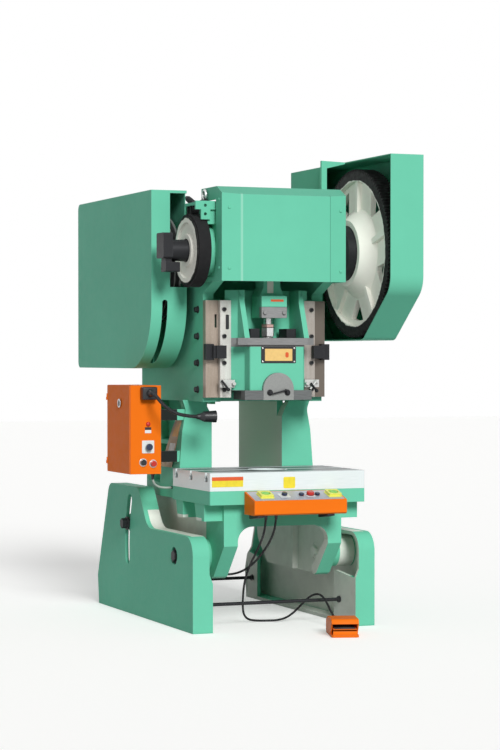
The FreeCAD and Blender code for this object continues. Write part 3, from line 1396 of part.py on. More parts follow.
# ---- sheet steel covers --------------------------------------------------
def belt_cover():
    """The tall left cover: a sheet shell with a swept lower front and a sight slot."""
    piece = Piece("belt_cover")
    left, right = size.belt_cover_left, size.belt_cover_right
    front, back = size.belt_cover_front, size.belt_cover_back
    top, bottom = size.belt_cover_top, size.belt_cover_bottom
    wall = size.sheet_steel

    def side(inset):
        sweep, heel, round_off = 295, 272, 30
        return [at(front + inset, bottom + sweep, bow=sweep - inset),
                at(front + heel, bottom + inset), at(back - inset, bottom + inset,
                rounding=round_off - inset), at(back - inset, top - inset,
                rounding=round_off - inset), at(front + inset, top - inset)]

    piece.slab("YZ", left, right, side(0))
    piece.cut("YZ", left + wall, right + 1, side(wall))
    piece.slab("YZ", right - wall, right, [
        at(620, bottom + 2), at(back - 8, bottom + 30), at(back - 8, top - 30),
        at(620, top - 2)], ring(size.motor_back, size.motor_height, 75))
    piece.cut("XZ", front - 1, front + 30, [
        at(right - 80, 1524), at(right + 1, 1524), at(right + 1, top - 13),
        at(right - 80, top - 13)])
    piece.cut("XZ", front - 1, front + 330, [
        at(-444, 1180, rounding=11), at(-419, 1180, rounding=11),
        at(-419, 1466, rounding=11), at(-444, 1466, rounding=11)])


def guard_outline(front):
    slanted = [at(size.guard_front, size.guard_top), at(size.guard_front, 1514, rounding=110),
               at(-134, size.guard_bottom, rounding=60)]
    if front is not None:
        slanted = [at(front, size.guard_top), at(front, size.guard_bottom)]
    return slanted + [at(size.guard_back - 170, size.guard_bottom),
                      at(size.guard_back, size.guard_bottom + 170),
                      at(size.guard_back, size.guard_top)]


def gear_guard():
    """The right guard: a deep band round the gear, open towards the middle in front."""
    piece = Piece("gear_guard")
    left, right, wall = size.guard_left, size.guard_right, size.sheet_steel
    piece.slab("YZ", left, right, guard_outline(None))
    piece.hollow(wall, ("X", left))
    opening = size.guard_opening
    piece.slab("YZ", left, left + wall, [
        at(opening, size.guard_bottom + 1), at(size.guard_back - 170, size.guard_bottom + 1),
        at(size.guard_back - 1, size.guard_bottom + 170), at(size.guard_back - 1, size.guard_top - 1),
        at(opening, size.guard_top - 1)], ring(size.shaft_back, shaft_height, 50))
    piece.slab("YZ", left - 10, left + wall, [
        at(opening, size.guard_bottom + 1), at(opening + wall, size.guard_bottom + 1),
        at(opening + wall, size.guard_top - 1), at(opening, size.guard_top - 1)])


def crank_cover():
    """The front cover: a folded sheet box over the crank, open below and behind."""
    piece = Piece("crank_cover")
    half, front = size.cover_half, size.cover_front
    back = size.head_front
    top, bottom, wall = size.cover_top, size.cover_bottom, size.sheet_steel
    piece.slab("XY", bottom, top, [
        at(0 - half, back), at(0 - half, front + 12), at(84 - half, front),
        at(half - 84, front), at(half, front + 12), at(half, back)])
    piece.cut("YZ", 0 - half - 1, half + 1, [
        at(front - 1, top - 38), at(front + 76, top + 1), at(front - 1, top + 1)])
    piece.hollow(wall, ("Z", bottom), ("Y", back))
    relief = size.bearing_boss + 3
    piece.cut("YZ", 0 - half - 1, half + 1, [
        at(back + 1, size.crank_height - relief), at(back + 1, size.head_top + 2),
        at(-121, size.head_top + 2), at(-121, size.crank_height - 70),
        at(-90, size.crank_height - relief)])


def eye_bolts():
    """Lifting eyes on the head's two lugs."""
    ring_shape = Part.makeTorus(19, 6, FreeCAD.Vector(0, 0, 34), FreeCAD.Vector(1, 0, 0))
    collar = Part.makeCylinder(15, 6).fuse(Part.makeCylinder(8, 14))
    shape = ring_shape.fuse(collar).removeSplitter()
    shapes = [put(shape, "+Z", side * (size.head_outer + 18), -8,
                  size.head_top - 5 + size.seat_gap) for side in (-1, 1)]
    solid("eye_bolts", Part.makeCompound(shapes))


# ---- electrics -----------------------------------------------------------
def cabinet():
    """The control cabinet: a sheet box, open to the left where its door closes it."""
    piece = Piece("cabinet")
    left = size.cabinet_left + 4
    right = size.cabinet_left + size.cabinet_width
    front, back = size.cabinet_front, size.cabinet_front + size.cabinet_depth
    low, high = size.cabinet_bottom, size.cabinet_bottom + size.cabinet_height
    piece.slab("XY", low, high, [at(left, front), at(right, front), at(right, back),
                                 at(left, back)])
    piece.hollow(3, ("X", left))
    for x, z, radius in cabinet_holes():
        piece.bore("Y", (x, z), front - 1, front + 4, radius)
    piece.slab("YZ", right - 12, right - 2.5, [
        at(front + 40, low + 40), at(back - 40, low + 40), at(back - 40, high - 40),
        at(front + 40, high - 40)])
    x, y = hinge_pin()
    for foot, seam, top in hinge_levels():
        piece.rod("Z", (x, y), foot, seam, size.hinge_radius)
        piece.slab("XY", foot, seam, [
            at(x - 3.6, y + 0.6), at(x + 2.8, y + 0.6), at(x + 2.8, y + 4.5),
            at(x + 26, y + 4.5), at(x + 26, y + 8), at(x - 3.6, y + 8)])


def cabinet_holes():
    """Where the switch and the two push buttons pass through the cabinet's front."""
    return ((-502, 803, 10), (-526, 733, 11), (-478, 727, 11))


def cabinet_door():
    """The cabinet's door is its left side; it is hinged at the back edge."""
    piece = Piece("cabinet_door")
    left = size.cabinet_left
    front, back = size.cabinet_front + 2, size.cabinet_front + size.cabinet_depth - 6
    low, high = size.cabinet_bottom + 2, size.cabinet_bottom + size.cabinet_height - 2
    piece.slab("YZ", left, left + 3.4, [
        at(front, low, rounding=4), at(back, low, rounding=4), at(back, high, rounding=4),
        at(front, high, rounding=4)])
    piece.bore("X", door_lock_centre(), left - 1, left + 4, 9)
    pin = hinge_pin()
    for low, seam, high in hinge_levels():
        piece.cut("YZ", left - 1, left + 4, [
            at(pin[1] - 5, low - 0.4), at(pin[1] + 1, low - 0.4), at(pin[1] + 1, seam + 0.3),
            at(pin[1] - 5, seam + 0.3)])
        piece.rod("Z", pin, seam + 0.3, high, size.hinge_radius)


def hinge_pin():
    """The line that the cabinet's door swings about, at the back of its outer face."""
    return (size.cabinet_left, size.cabinet_front + size.cabinet_depth - 6)


def hinge_levels():
    """Each hinge's foot, the seam between its two knuckles and its top."""
    low, high = size.cabinet_bottom + 36, size.cabinet_bottom + size.cabinet_height - 70
    return (low, low + 14, low + 30), (high, high + 14, high + 30)


def door_lock_centre():
    return (size.cabinet_front + 138, size.cabinet_bottom + 318)


def door_lock():
    piece = Piece("door_lock")
    left = size.cabinet_left
    piece.turned("X", door_lock_centre(), at(left + 16, 0), at(left - 7, 0), at(left - 7, 10),
                 at(left - 5, 14), at(left - 0.3, 14), at(left - 0.3, 8.5), at(left + 16, 8.5))
    back, height = door_lock_centre()
    piece.slab("YZ", left + 12, left + 15, [
        at(back - 7, height - 6), at(back - 7, height + 26), at(back + 7, height + 26),
        at(back + 7, height - 6)])


def panel_switch(name, x, z, knob):
    """A switch or button in the cabinet's front: knob = radius, stand and neck."""
    radius, stand, neck = knob
    piece = Piece(name)
    front = size.cabinet_front
    piece.turned("Y", (x, z), at(front + 14, 0), at(front - stand, 0),
                 at(front - stand, radius - 2), at(front - stand + 2, radius),
                 at(front - stand + 12, radius), at(front - stand + 12, neck),
                 at(front + 14, neck))
    return piece


def lamp_arm():
    """The work lamp's base block with the bendable neck crimped into it."""
    front = float(size.cabinet_front - size.seat_gap)
    block = Part.makeBox(70, 40, 58, FreeCAD.Vector(-540, front - 40, 1016))
    upright = [edge for edge in block.Edges if abs(edge.tangentAt(0).y) > 0.9]
    block = block.makeFillet(6, upright)
    nose = Part.makeCone(18, 12, 26, FreeCAD.Vector(-505, front - 39, 1046),
                         FreeCAD.Vector(0, -1, 0))
    neck = cord_tube("lamp_arm", lamp_route(), 8)
    solid("lamp_arm", block.fuse(nose).fuse(neck).removeSplitter())


def lamp_route():
    return ((-505, 137, 1046), (-504, 96, 1040), (-486, 60, 1002), (-440, 42, 962),
            (-385, 36, 946), (-330, 32, 942))


def lamp_head():
    piece = Piece("lamp_head", place=(-330, 32, 942), turn=((0, 0, 1), -5))
    piece.turned("X", (0, 0), at(0.9, 0), at(0.9, 11), at(14, 14), at(34, size.lamp_radius),
                 at(88, size.lamp_radius + 3), at(88, size.lamp_radius), at(60, 12),
                 at(60, 0))


def push_station():
    """The two hand control box on the table's front, with a sloping switch panel."""
    piece = Piece("push_station")
    left, right = size.station_left, size.station_left + size.station_width
    front, low, lip = size.station_front, size.station_bottom, size.station_lip
    piece.slab("YZ", left, right, [
        at(front, low + 6), at(front + 10, low), at(station_back, low),
        at(station_back, lip + size.station_rise), at(front, lip, rounding=3)])
    for x, radius in station_holes():
        bore_panel(piece, x, radius)


def station_holes():
    return ((-135, 12), (-45, 9), (36, 9), (78, 11), (112, 9), (188, 12))


def panel_spot(x):
    """The middle of the sloping panel at x, where a switch stands."""
    return (x, (size.station_front + station_back) / 2,
            size.station_lip + size.station_rise / 2)


def bore_panel(piece, x, radius):
    """A blind hole square to the sloping panel."""
    tool = piece.body.newObject("PartDesign::SubtractiveCylinder", "button_hole")
    place = panel_spot(x)
    tilt = math.radians(station_tilt)
    tool.setExpression("Radius", formula(radius + size.seat_gap))
    tool.Height = 40
    tool.Placement = FreeCAD.Placement(
        FreeCAD.Vector(float(x), float(place[1]) + 30 * math.sin(tilt),
                       float(place[2]) - 30 * math.cos(tilt)),
        FreeCAD.Rotation(FreeCAD.Vector(1, 0, 0), station_tilt))


def panel_button(name, x, stem, cap, height):
    """A button on the sloping panel: its stem is in the box and its cap stands clear."""
    piece = Piece(name, place=panel_spot(x), turn=((1, 0, 0), station_tilt))
    rise = size.button_travel + 1
    piece.turned("Z", (0, 0), at(-20, 0), at(height, 0), at(height, cap - 3),
                 at(height - 3, cap), at(rise, cap), at(rise, stem), at(-20, stem))
    return piece


def foot_switch():
    """The treadle's housing: base, side cheeks and a hood, turned a little."""
    half, length, height = size.pedal_half, size.pedal_length, size.pedal_height
    piece = Piece("foot_switch", place=(size.pedal_place_x, size.pedal_place_y, 0),
                  turn=((0, 0, 1), size.pedal_turn))
    end = length / 2
    piece.slab("XY", 0, 10, [
        at(0 - half, 0 - end, rounding=12), at(half, 0 - end, rounding=12),
        at(half, end, rounding=8), at(0 - half, end, rounding=8)])
    piece.slab("YZ", 0 - half, half, [
        at(0 - end + 50, 9), at(end, 9), at(end, height - 22, rounding=16),
        at(end - 60, height, rounding=20), at(0 - end + 20, height, rounding=6),
        at(0 - end + 12, height - 22)])
    piece.cut("YZ", 6 - half, half - 6, [
        at(0 - end - 1, 10), at(end - 60, 10), at(end - 60, height - 8),
        at(0 - end - 1, height - 8)])
    piece.rod("Y", (0, 30), end - 1, end + 16, 11)
    piece.bore("X", (end - 72, 44), 0 - half - 1, half + 1, 5)


def foot_pedal():
    """The treadle, hinged at the back of its housing."""
    half, end = size.pedal_half, size.pedal_length / 2
    piece = Piece("foot_pedal", place=(size.pedal_place_x, size.pedal_place_y, 0),
                  turn=((0, 0, 1), size.pedal_turn))
    piece.slab("YZ", 9 - half, half - 9, [
        at(0 - end + 14, 35), at(0 - end + 16, 30, rounding=2), at(end - 76, 38),
        at(end - 64, 40), at(end - 66, 50), at(end - 78, 47)])
    piece.rod("X", (end - 72, 44), 0 - half - 1, half + 1, 4.95)


# ---- cables --------------------------------------------------------------
def pedal_route():
    """From the push station down through the opening, over the floor and the front
    tie rod to the foot switch."""
    back = size.pedal_length / 2 + 16
    turn = math.radians(float(size.pedal_turn))
    x = float(size.pedal_place_x) - float(back) * math.sin(turn)
    y = float(size.pedal_place_y) + float(back) * math.cos(turn)
    step = 58

    def ahead(distance, height):
        return (x - distance * math.sin(turn), y + distance * math.cos(turn), height)

    return ((-116, -262, 519.7), (-118, -261, 462), (-126, -238, 404), (-134, -196, 350),
            (-140, -146, 298), (-140, -92, 244), (-130, -36, 188), (-114, 18, 132),
            (-98, 62, 80), (-80, 96, 38), (-50, 118, 12), (-8, 118, 5.3), (38, 102, 5.3),
            (80, 82, 7), (120, 62, 20), (156, 40, 54), (186, 14, 98), (212, -22, 131),
            (230, -66, 136), (238, -114, 108), (238, -164, 66), ahead(2 * step - 8, 38),
            ahead(step - 8, 30), ahead(0.3, 30))


def box_route():
    return ((-68, -262, 519.7), (-69, -260, 470), (-75, -236, 420), (-86, -198, 370),
            (-102, -152, 322), (-122, -102, 280), (-146, -50, 250), (-172, 0, 234),
            (-198, 46, 230), (-224, 76, 234), (-249.7, 76, 234))


def cabinet_route():
    return ((-470, 230, 679.2), (-469.6, 230.5, 650), (-452, 248, 628), (-424, 264, 616),
            (-392, 276, 612), (-364, 286, 612), (-337.3, 286, 612))


def finish_parts():
    """Check every object, then write each sub-part to its own file."""
    doc.recompute()
    for thing in doc.Objects:
        if "Invalid" in thing.State or "Error" in thing.State:
            raise RuntimeError(f"{thing.Label} is {thing.State}")
    for part in subparts:
        shape = part.Shape
        if shape.isNull() or not shape.isValid() or not shape.Solids:
            raise RuntimeError(f"{part.Label} has no valid solid")
        shape.exportStep(f"parts/{part.Label}.step")
    print(len(subparts), "sub-parts written")


def build():
    leg("leg_left", -1)
    leg("leg_right", 1)
    tie_rods()
    pivot_pins()
    frame = frame_casting()
    drill_for_screws(frame)
    weld_frame(frame)
    lock_bolts()
    table_plate()
    gib("gib_left", -1)
    gib("gib_right", 1)
    gib_plates()
    gib_screws()
    knockout_stops()
    knockout_brackets()
    crankshaft()
    main_bushes()
    brake_drum()
    brake_band()
    brake_bracket()
    shaft_cam()
    clutch_hub()
    drive_gear()
    pinion_shaft()
    shaft_bearings()
    flywheel()
    motor_pulley()
    drive_belts()
    motor()
    motor_plate()
    conrod()
    conrod_cap()
    conrod_bolts()
    conrod_lock()
    ball_screw()
    ram()
    ball_seat()
    shank_clamp()
    belt_cover()
    gear_guard()
    crank_cover()
    eye_bolts()
    cabinet()
    cabinet_door()
    door_lock()
    names = ("main_switch", "start_button", "halt_button")
    for name, (x, z, hole), knob in zip(names, cabinet_holes(), (
            (15, 26, 9.7), (13, 17, 10.7), (13, 17, 10.7))):
        panel_switch(name, x, z, knob)
    lamp_arm()
    lamp_head()
    push_station()
    names = ("palm_button_left", "selector", "inch_button", "stop_button", "set_button",
             "palm_button_right")
    caps = ((19, 16), (13, 16), (12, 12), (17, 18), (12, 12), (19, 16))
    for name, (x, hole), (cap, height) in zip(names, station_holes(), caps):
        panel_button(name, x, hole, cap, height)
    foot_switch()
    foot_pedal()
    cord("pedal_cable", pedal_route(), size.cable_radius)
    cord("station_cable", box_route(), size.cable_radius)
    cord("cabinet_cable", cabinet_route(), size.cable_radius)
    finish_parts()


build()
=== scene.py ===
# %% [markdown]
# A mechanical stamping press, dressed for its portrait.
#
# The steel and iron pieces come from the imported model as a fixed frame. This
# lesson gives each surface its finish, adds the small things that are bought in
# and screwed on, hangs the cables, and stands a camera where the photographer
# stood.  Lengths are in metres, or in millimetres where a helper says so, and the
# frame's origin is on the floor, in the middle of the press's four anchor holes.

# %% Load the frame
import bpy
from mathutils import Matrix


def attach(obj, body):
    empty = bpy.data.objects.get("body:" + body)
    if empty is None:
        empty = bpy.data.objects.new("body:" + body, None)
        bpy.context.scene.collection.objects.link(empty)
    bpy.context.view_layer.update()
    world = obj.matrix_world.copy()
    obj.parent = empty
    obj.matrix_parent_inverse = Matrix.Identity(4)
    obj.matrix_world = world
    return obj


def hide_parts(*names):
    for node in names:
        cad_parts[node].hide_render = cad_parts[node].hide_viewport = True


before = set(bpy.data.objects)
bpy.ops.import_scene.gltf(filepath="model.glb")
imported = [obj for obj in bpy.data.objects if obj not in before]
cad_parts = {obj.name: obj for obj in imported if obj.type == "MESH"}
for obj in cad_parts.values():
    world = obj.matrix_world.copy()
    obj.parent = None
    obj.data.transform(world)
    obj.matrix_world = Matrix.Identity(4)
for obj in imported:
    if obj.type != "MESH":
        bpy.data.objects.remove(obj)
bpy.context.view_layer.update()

import math

import bmesh
import bpy
from mathutils import Matrix, Vector

# %% [markdown]
# The ram's centre line is the natural place to measure a press from: the crank,
# the table and the guides are all centred on it.  It stands 460 mm in front of
# the frame's origin.  `ram_at` turns millimetres about that line into a place in
# the frame, so the sizes below can be compared with a drawing of the press.

# %% Places about the ram's centre line
MM = 0.001
RAM_LINE_Y = -460


def ram_at(x, y, z):
    """Millimetres right, back and up from the ram's centre line on the floor."""
    return Vector((x, y + RAM_LINE_Y, z)) * MM


def show(name, data):
    """Put a mesh, curve, lamp or camera into the scene under a name."""
    piece = bpy.data.objects.new(name, data)
    bpy.context.scene.collection.objects.link(piece)
    return piece


# %% [markdown]
# The camera comes first, because the cables may only spread as far as it sees.
# The photographer stood in front of the press and a little to its left, about
# ten metres away with a long lens, with the lens at chest height.

# %% Camera
CAMERA_PLACE = ram_at(-3785.6, -9267.2, 1212.8)
CAMERA_TURN = -21.758
CAMERA_PITCH = -1.031
FRAME_HEIGHT_MM = 36
LENS_MM = 106.6
RISE_OF_CENTRE = 21 / 750
FAR_ENOUGH = 60

camera_data = bpy.data.cameras.new("photographer")
camera_data.sensor_fit = "VERTICAL"
camera_data.sensor_height = FRAME_HEIGHT_MM
camera_data.lens = LENS_MM
camera_data.shift_y = RISE_OF_CENTRE
camera_data.clip_end = FAR_ENOUGH
camera = show("photographer", camera_data)
camera.location = CAMERA_PLACE
camera.rotation_euler = (math.radians(90 + CAMERA_PITCH), 0, math.radians(CAMERA_TURN))
bpy.context.scene.camera = camera
print("camera stands", round((CAMERA_PLACE - ram_at(0, 0, 1000)).length, 2), "m from the ram")

# %% [markdown]
# Three cables hang on the press.  One leaves the two-hand box, drops to the
# floor, goes over the front tie rod and into the back of the foot switch.  One
# goes from the same box into the frame's side wall, and one from the control
# cabinet to the column.  A cable is a round tube along one smooth spline whose
# control points are the route: of order 3, the line leans into each corner
# instead of bending at it.

# %% Cables
CABLE = 0.010
ROUTES = {
    "pedal_cable": [
        (-116, -262, 519.7), (-118, -261, 462), (-126, -238, 404), (-134, -196, 350),
        (-140, -146, 298), (-140, -92, 244), (-130, -36, 188), (-114, 18, 132),
        (-98, 62, 80), (-80, 96, 38), (-50, 118, 12), (-8, 118, 5.3), (38, 102, 5.3),
        (80, 82, 7), (120, 62, 20), (156, 40, 54), (186, 14, 98), (212, -22, 131),
        (230, -66, 136), (238, -114, 108), (238, -164, 66)],
    "station_cable": [
        (-68, -262, 519.7), (-69, -260, 470), (-75, -236, 420), (-86, -198, 370),
        (-102, -152, 322), (-122, -102, 280), (-146, -50, 250), (-172, 0, 234),
        (-198, 46, 230), (-224, 76, 234), (-249.7, 76, 234)],
    "cabinet_cable": [
        (-470, 230, 679.2), (-469.6, 230.5, 650), (-452, 248, 628), (-424, 264, 616),
        (-392, 276, 612), (-364, 286, 612), (-337.3, 286, 612)],
}
PEDAL_PLACE, PEDAL_TURN = (165, -455), math.radians(-17)
PEDAL_BACK = 121


def behind_pedal(distance, height):
    """A point straight behind the foot switch's socket, which is turned a little."""
    reach = PEDAL_BACK + distance
    return (PEDAL_PLACE[0] - reach * math.sin(PEDAL_TURN),
            PEDAL_PLACE[1] + reach * math.cos(PEDAL_TURN), height)


ROUTES["pedal_cable"] += [behind_pedal(108, 38), behind_pedal(50, 30), behind_pedal(0.3, 30)]


def smooth_line(name, points, steps):
    """A spline of order 3 along a route of ram millimetres."""
    curve = bpy.data.curves.new(name, "CURVE")
    curve.dimensions = "3D"
    curve.resolution_u = steps
    spline = curve.splines.new("NURBS")
    spline.points.add(len(points) - 1)
    for point, place in zip(spline.points, points):
        point.co = (*ram_at(*place), 1)
    spline.order_u = 3
    spline.use_endpoint_u = True
    return curve


def chain_of(curve):
    """The curve as a chain of mesh edges."""
    probe = show("probe", curve)
    chain = bpy.data.meshes.new_from_object(probe)
    bpy.data.objects.remove(probe)
    return chain


def hang_cable(name, points):
    curve = smooth_line(name + "_line", points, steps=8)
    curve.bevel_depth = CABLE / 2
    curve.bevel_resolution = 4
    curve.use_fill_caps = True
    return show(name + "_sheath", curve)


def length_of(piece):
    """How long a cable's line is, measured on the line itself, without its sheath."""
    bare = piece.data.copy()
    bare.bevel_depth = 0
    line = chain_of(bare)
    return sum((line.vertices[a].co - line.vertices[b].co).length
               for a, b in (edge.vertices for edge in line.edges))


cables = {name: hang_cable(name, points) for name, points in ROUTES.items()}
CABLE_LENGTH = {name: length_of(piece) for name, piece in cables.items()}
for name, length in CABLE_LENGTH.items():
    print(name, round(length, 3), "m")

# %% [markdown]
# The press stands on a flat pale floor before a plain white sky.  The photo's own
# room is left out.  The floor is a shade darker to the object than to the camera, so it keeps
# the press's shadow and still looks white in the picture.  The light is plain and
# soft: an even glow from everywhere, and one broad sun in front of the press and
# above it, which tells the fronts of the castings from their sides and tops.

# %% Floor, sky and sun
PAPER = (0.93, 0.93, 0.92, 1)
GLOW = 0.22
SUN_POWER = 2.55
SUN_SPREAD = 20
FLOOR_LIFT = 0.38
FLOOR_BOUNCE = (0.62, 0.62, 0.62, 1)
SUN_FROM = Vector((-0.07, -0.87, 0.47))


def paper_seen_by_camera(tree, dull, bright):
    """Mix two shaders: the bright one for what the eye and mirrors see, dull for light."""
    path = tree.nodes.new("ShaderNodeLightPath")
    seen = path.outputs["Is Camera Ray"]
    for other in ("Is Glossy Ray", "Is Transmission Ray"):
        either = tree.nodes.new("ShaderNodeMath")
        either.operation = "MAXIMUM"
        tree.links.new(seen, either.inputs[0])
        tree.links.new(path.outputs[other], either.inputs[1])
        seen = either.outputs[0]
    choice = tree.nodes.new("ShaderNodeMixShader")
    tree.links.new(seen, choice.inputs[0])
    tree.links.new(dull, choice.inputs[1])
    tree.links.new(bright, choice.inputs[2])
    return choice.outputs[0]


def far_lamp(name, power, direction):
    """A broad sun that shines from a direction."""
    data = bpy.data.lights.new(name, "SUN")
    data.energy = power
    data.angle = math.radians(SUN_SPREAD)
    lamp = show(name, data)
    lamp.rotation_euler = direction.to_track_quat("Z", "Y").to_euler()
    return lamp


def lay_floor(half_width, depth):
    mesh = bpy.data.meshes.new("studio_floor")
    shape = bmesh.new()
    bmesh.ops.create_grid(shape, x_segments=2, y_segments=2, size=half_width,
                          matrix=Matrix.Translation((0, 0, -depth)))
    shape.to_mesh(mesh)
    shape.free()
    floor = show("studio_floor", mesh)
    paper = bpy.data.materials.new("studio_paper")
    paper.use_nodes = True
    shader = paper.node_tree.nodes["Principled BSDF"]
    shader.inputs["Base Color"].default_value = PAPER
    shader.inputs["Roughness"].default_value = 0.85
    tree = paper.node_tree
    lift = tree.nodes.new("ShaderNodeEmission")
    lift.inputs["Color"].default_value = PAPER
    lift.inputs["Strength"].default_value = FLOOR_LIFT
    dull = tree.nodes.new("ShaderNodeBsdfDiffuse")
    dull.inputs["Color"].default_value = FLOOR_BOUNCE
    lifted = tree.nodes.new("ShaderNodeAddShader")
    tree.links.new(shader.outputs[0], lifted.inputs[0])
    tree.links.new(lift.outputs[0], lifted.inputs[1])
    tree.links.new(paper_seen_by_camera(tree, dull.outputs[0], lifted.outputs[0]),
                   tree.nodes["Material Output"].inputs["Surface"])
    mesh.materials.append(paper)


lay_floor(half_width=30, depth=0.0005)

sky = bpy.data.worlds.new("studio_sky")
sky.use_nodes = True
bpy.context.scene.world = sky
glow = sky.node_tree.nodes["Background"]
glow.inputs["Color"].default_value = (1, 1, 1, 1)
glow.inputs["Strength"].default_value = GLOW
backdrop = sky.node_tree.nodes.new("ShaderNodeBackground")
backdrop.inputs["Color"].default_value = (1, 1, 1, 1)
backdrop.inputs["Strength"].default_value = 1.0
sky.node_tree.links.new(
    paper_seen_by_camera(sky.node_tree, glow.outputs[0], backdrop.outputs[0]),
    sky.node_tree.nodes["World Output"].inputs["Surface"])

far_lamp("studio_sun", SUN_POWER, SUN_FROM)
bpy.context.scene.view_settings.view_transform = "Standard"
print("light:", GLOW, "from everywhere,", SUN_POWER, "from the sun")

# %% [markdown]
# A finish is a small tree of nodes that ends in the Principled shader.  On every
# press the same few things happen to a surface: it is mottled a little and its
# grain makes bumps.  Its edges are painted paler, partly as wear and partly as a
# painted highlight, and its hollows are painted darker, as painted shade and on
# bare metal also as grime.  `Finish` keeps one method for each, and its patterns
# read Object coordinates, in metres, so that a grain of 2 mm is 2 mm on a leg and
# on a button.

# %% A kit for finishes


class Finish:
    """One material, built node by node."""

    def __init__(self, name, roughness=0.5, metallic=0.0, coat=0.0, specular=0.5):
        self.material = bpy.data.materials.new(name)
        self.material.use_nodes = True
        self.tree = self.material.node_tree
        self.shader = self.tree.nodes["Principled BSDF"]
        self.shader.inputs["Metallic"].default_value = metallic
        self.shader.inputs["Roughness"].default_value = roughness
        self.shader.inputs["Coat Weight"].default_value = coat
        self.shader.inputs["Specular IOR Level"].default_value = specular
        self.shader.inputs["Coat Roughness"].default_value = 0.15
        self.place = self.add("TexCoord").outputs["Object"]

    def add(self, kind, inputs=(), **settings):
        node = self.tree.nodes.new("ShaderNode" + kind)
        for key, value in settings.items():
            setattr(node, key, value)
        for key, value in dict(inputs).items():
            self.put(value, node.inputs[key])
        return node

    def put(self, value, socket):
        if isinstance(value, bpy.types.NodeSocket):
            self.tree.links.new(value, socket)
        elif socket.type == "RGBA" and len(value) == 3:
            socket.default_value = (*value, 1)
        else:
            socket.default_value = value

    def moved(self, centre=(0, 0, 0), turn=(0, 0, 0), scale=(1, 1, 1)):
        """The place, measured from a centre, turned and stretched."""
        away = self.add("VectorMath", {0: self.place, 1: centre}, operation="SUBTRACT")
        return self.add("Mapping", {"Vector": away.outputs[0], "Rotation": turn,
                                    "Scale": scale}).outputs[0]

    def noise(self, scale, detail=3, roughness=0.55, place=None, seed=0.0):
        return self.add("TexNoise", {
            "Vector": place or self.place, "W": seed, "Scale": scale, "Detail": detail,
            "Roughness": roughness}, noise_dimensions="4D").outputs[0]

    def ramp(self, value, start, end, low=0.0, high=1.0, smooth=True):
        return self.add("MapRange", {
            "Value": value, "From Min": start, "From Max": end, "To Min": low,
            "To Max": high}, interpolation_type="SMOOTHSTEP" if smooth else "LINEAR",
        ).outputs[0]

    def math(self, operation, first, second=0.0):
        return self.add("Math", {0: first, 1: second}, operation=operation).outputs[0]

    def blend(self, factor, first, second):
        node = self.add("Mix", {0: factor, 6: first, 7: second}, data_type="RGBA")
        return node.outputs[2]

    def part_of(self, axis):
        """One coordinate of the surface's own direction: 0 is X, 1 is Y, 2 is Z."""
        facing = self.add("TexCoord").outputs["Normal"]
        return self.add("SeparateXYZ", {0: facing}).outputs[axis]

    def within(self, low, high):
        """1 inside a box that is the same on the press's left and right; None is open."""
        part = list(self.add("SeparateXYZ", {0: self.place}).outputs)
        part[0] = self.math("ABSOLUTE", part[0])
        inside = None
        for axis in range(3):
            for limit, sign in ((low[axis], "GREATER_THAN"), (high[axis], "LESS_THAN")):
                if limit is None:
                    continue
                test = self.math(sign, part[axis], limit)
                inside = self.math("MULTIPLY", inside, test) if inside else test
        return inside

    def edges(self, radius=0.003):
        """Near 1 along outer edges and corners.  The finishes paint these paler, partly
        as wear and partly as a painted highlight.
        """
        soft = self.add("Bevel", {"Radius": radius}, samples=6).outputs[0]
        true = self.add("NewGeometry").outputs["Normal"]
        turn = self.add("VectorMath", {0: soft, 1: true}, operation="DOT_PRODUCT")
        return self.ramp(turn.outputs["Value"], 0.985, 0.80)

    def hollow_shade_and_grime(self, distance=0.03):
        """Near 1 in inner corners and hollows, found by ambient occlusion.  The finishes
        paint these darker: painted shade, and on bare metal also grime.
        """
        open_air = self.add("AmbientOcclusion", {"Distance": distance}, samples=6)
        return self.ramp(open_air.outputs["AO"], 0.75, 0.25)

    def from_axis(self, centre, axis):
        """How far the surface is from a line through the centre along an axis."""
        flat = [1, 1, 1]
        flat[axis] = 0
        reach = self.add("VectorMath", {0: self.moved(centre, scale=flat)},
                         operation="LENGTH")
        return reach.outputs["Value"]

    def bump(self, *layers, edge=0.0):
        """Layers are (height, depth in metres).  An edge radius rounds the edges."""
        normal = None
        if edge:
            normal = self.add("Bevel", {"Radius": edge}, samples=4).outputs[0]
        for height, depth in layers:
            node = self.add("Bump", {"Height": height, "Distance": depth,
                                     "Strength": 1.0})
            if normal:
                self.tree.links.new(normal, node.inputs["Normal"])
            normal = node.outputs[0]
        if normal:
            self.tree.links.new(normal, self.shader.inputs["Normal"])

    def colour(self, value):
        self.put(value, self.shader.inputs["Base Color"])

    def gloss(self, value):
        self.put(value, self.shader.inputs["Roughness"])


def shade(colour, factor):
    return tuple(min(1.0, part * factor) for part in colour)


# %% [markdown]
# ** Enamel on iron and on sheet.** The castings carry a thick brushed enamel: its
# skin follows the sand-cast iron below it, so it shows a shallow pebble.  The
# folded covers are smoother, with the long faint ripple that sheet keeps from the
# press brake.  Both are the same mint green, painted a little darker in the
# corners as shade, and a little paler on the edges, as wear and as a painted
# highlight.  The crank cover is folded from one sheet and closed by a separate end
# plate, so its finish also draws a fine dark seam, a painted highlight along the
# fold and painted shade on its top facets.

# %% Green enamels
MINT = (0.175, 0.655, 0.450)
PRIMER_LOW, PRIMER_HIGH = (0.92, 0.96, 0.88), (0.80, 0.84, 0.73)


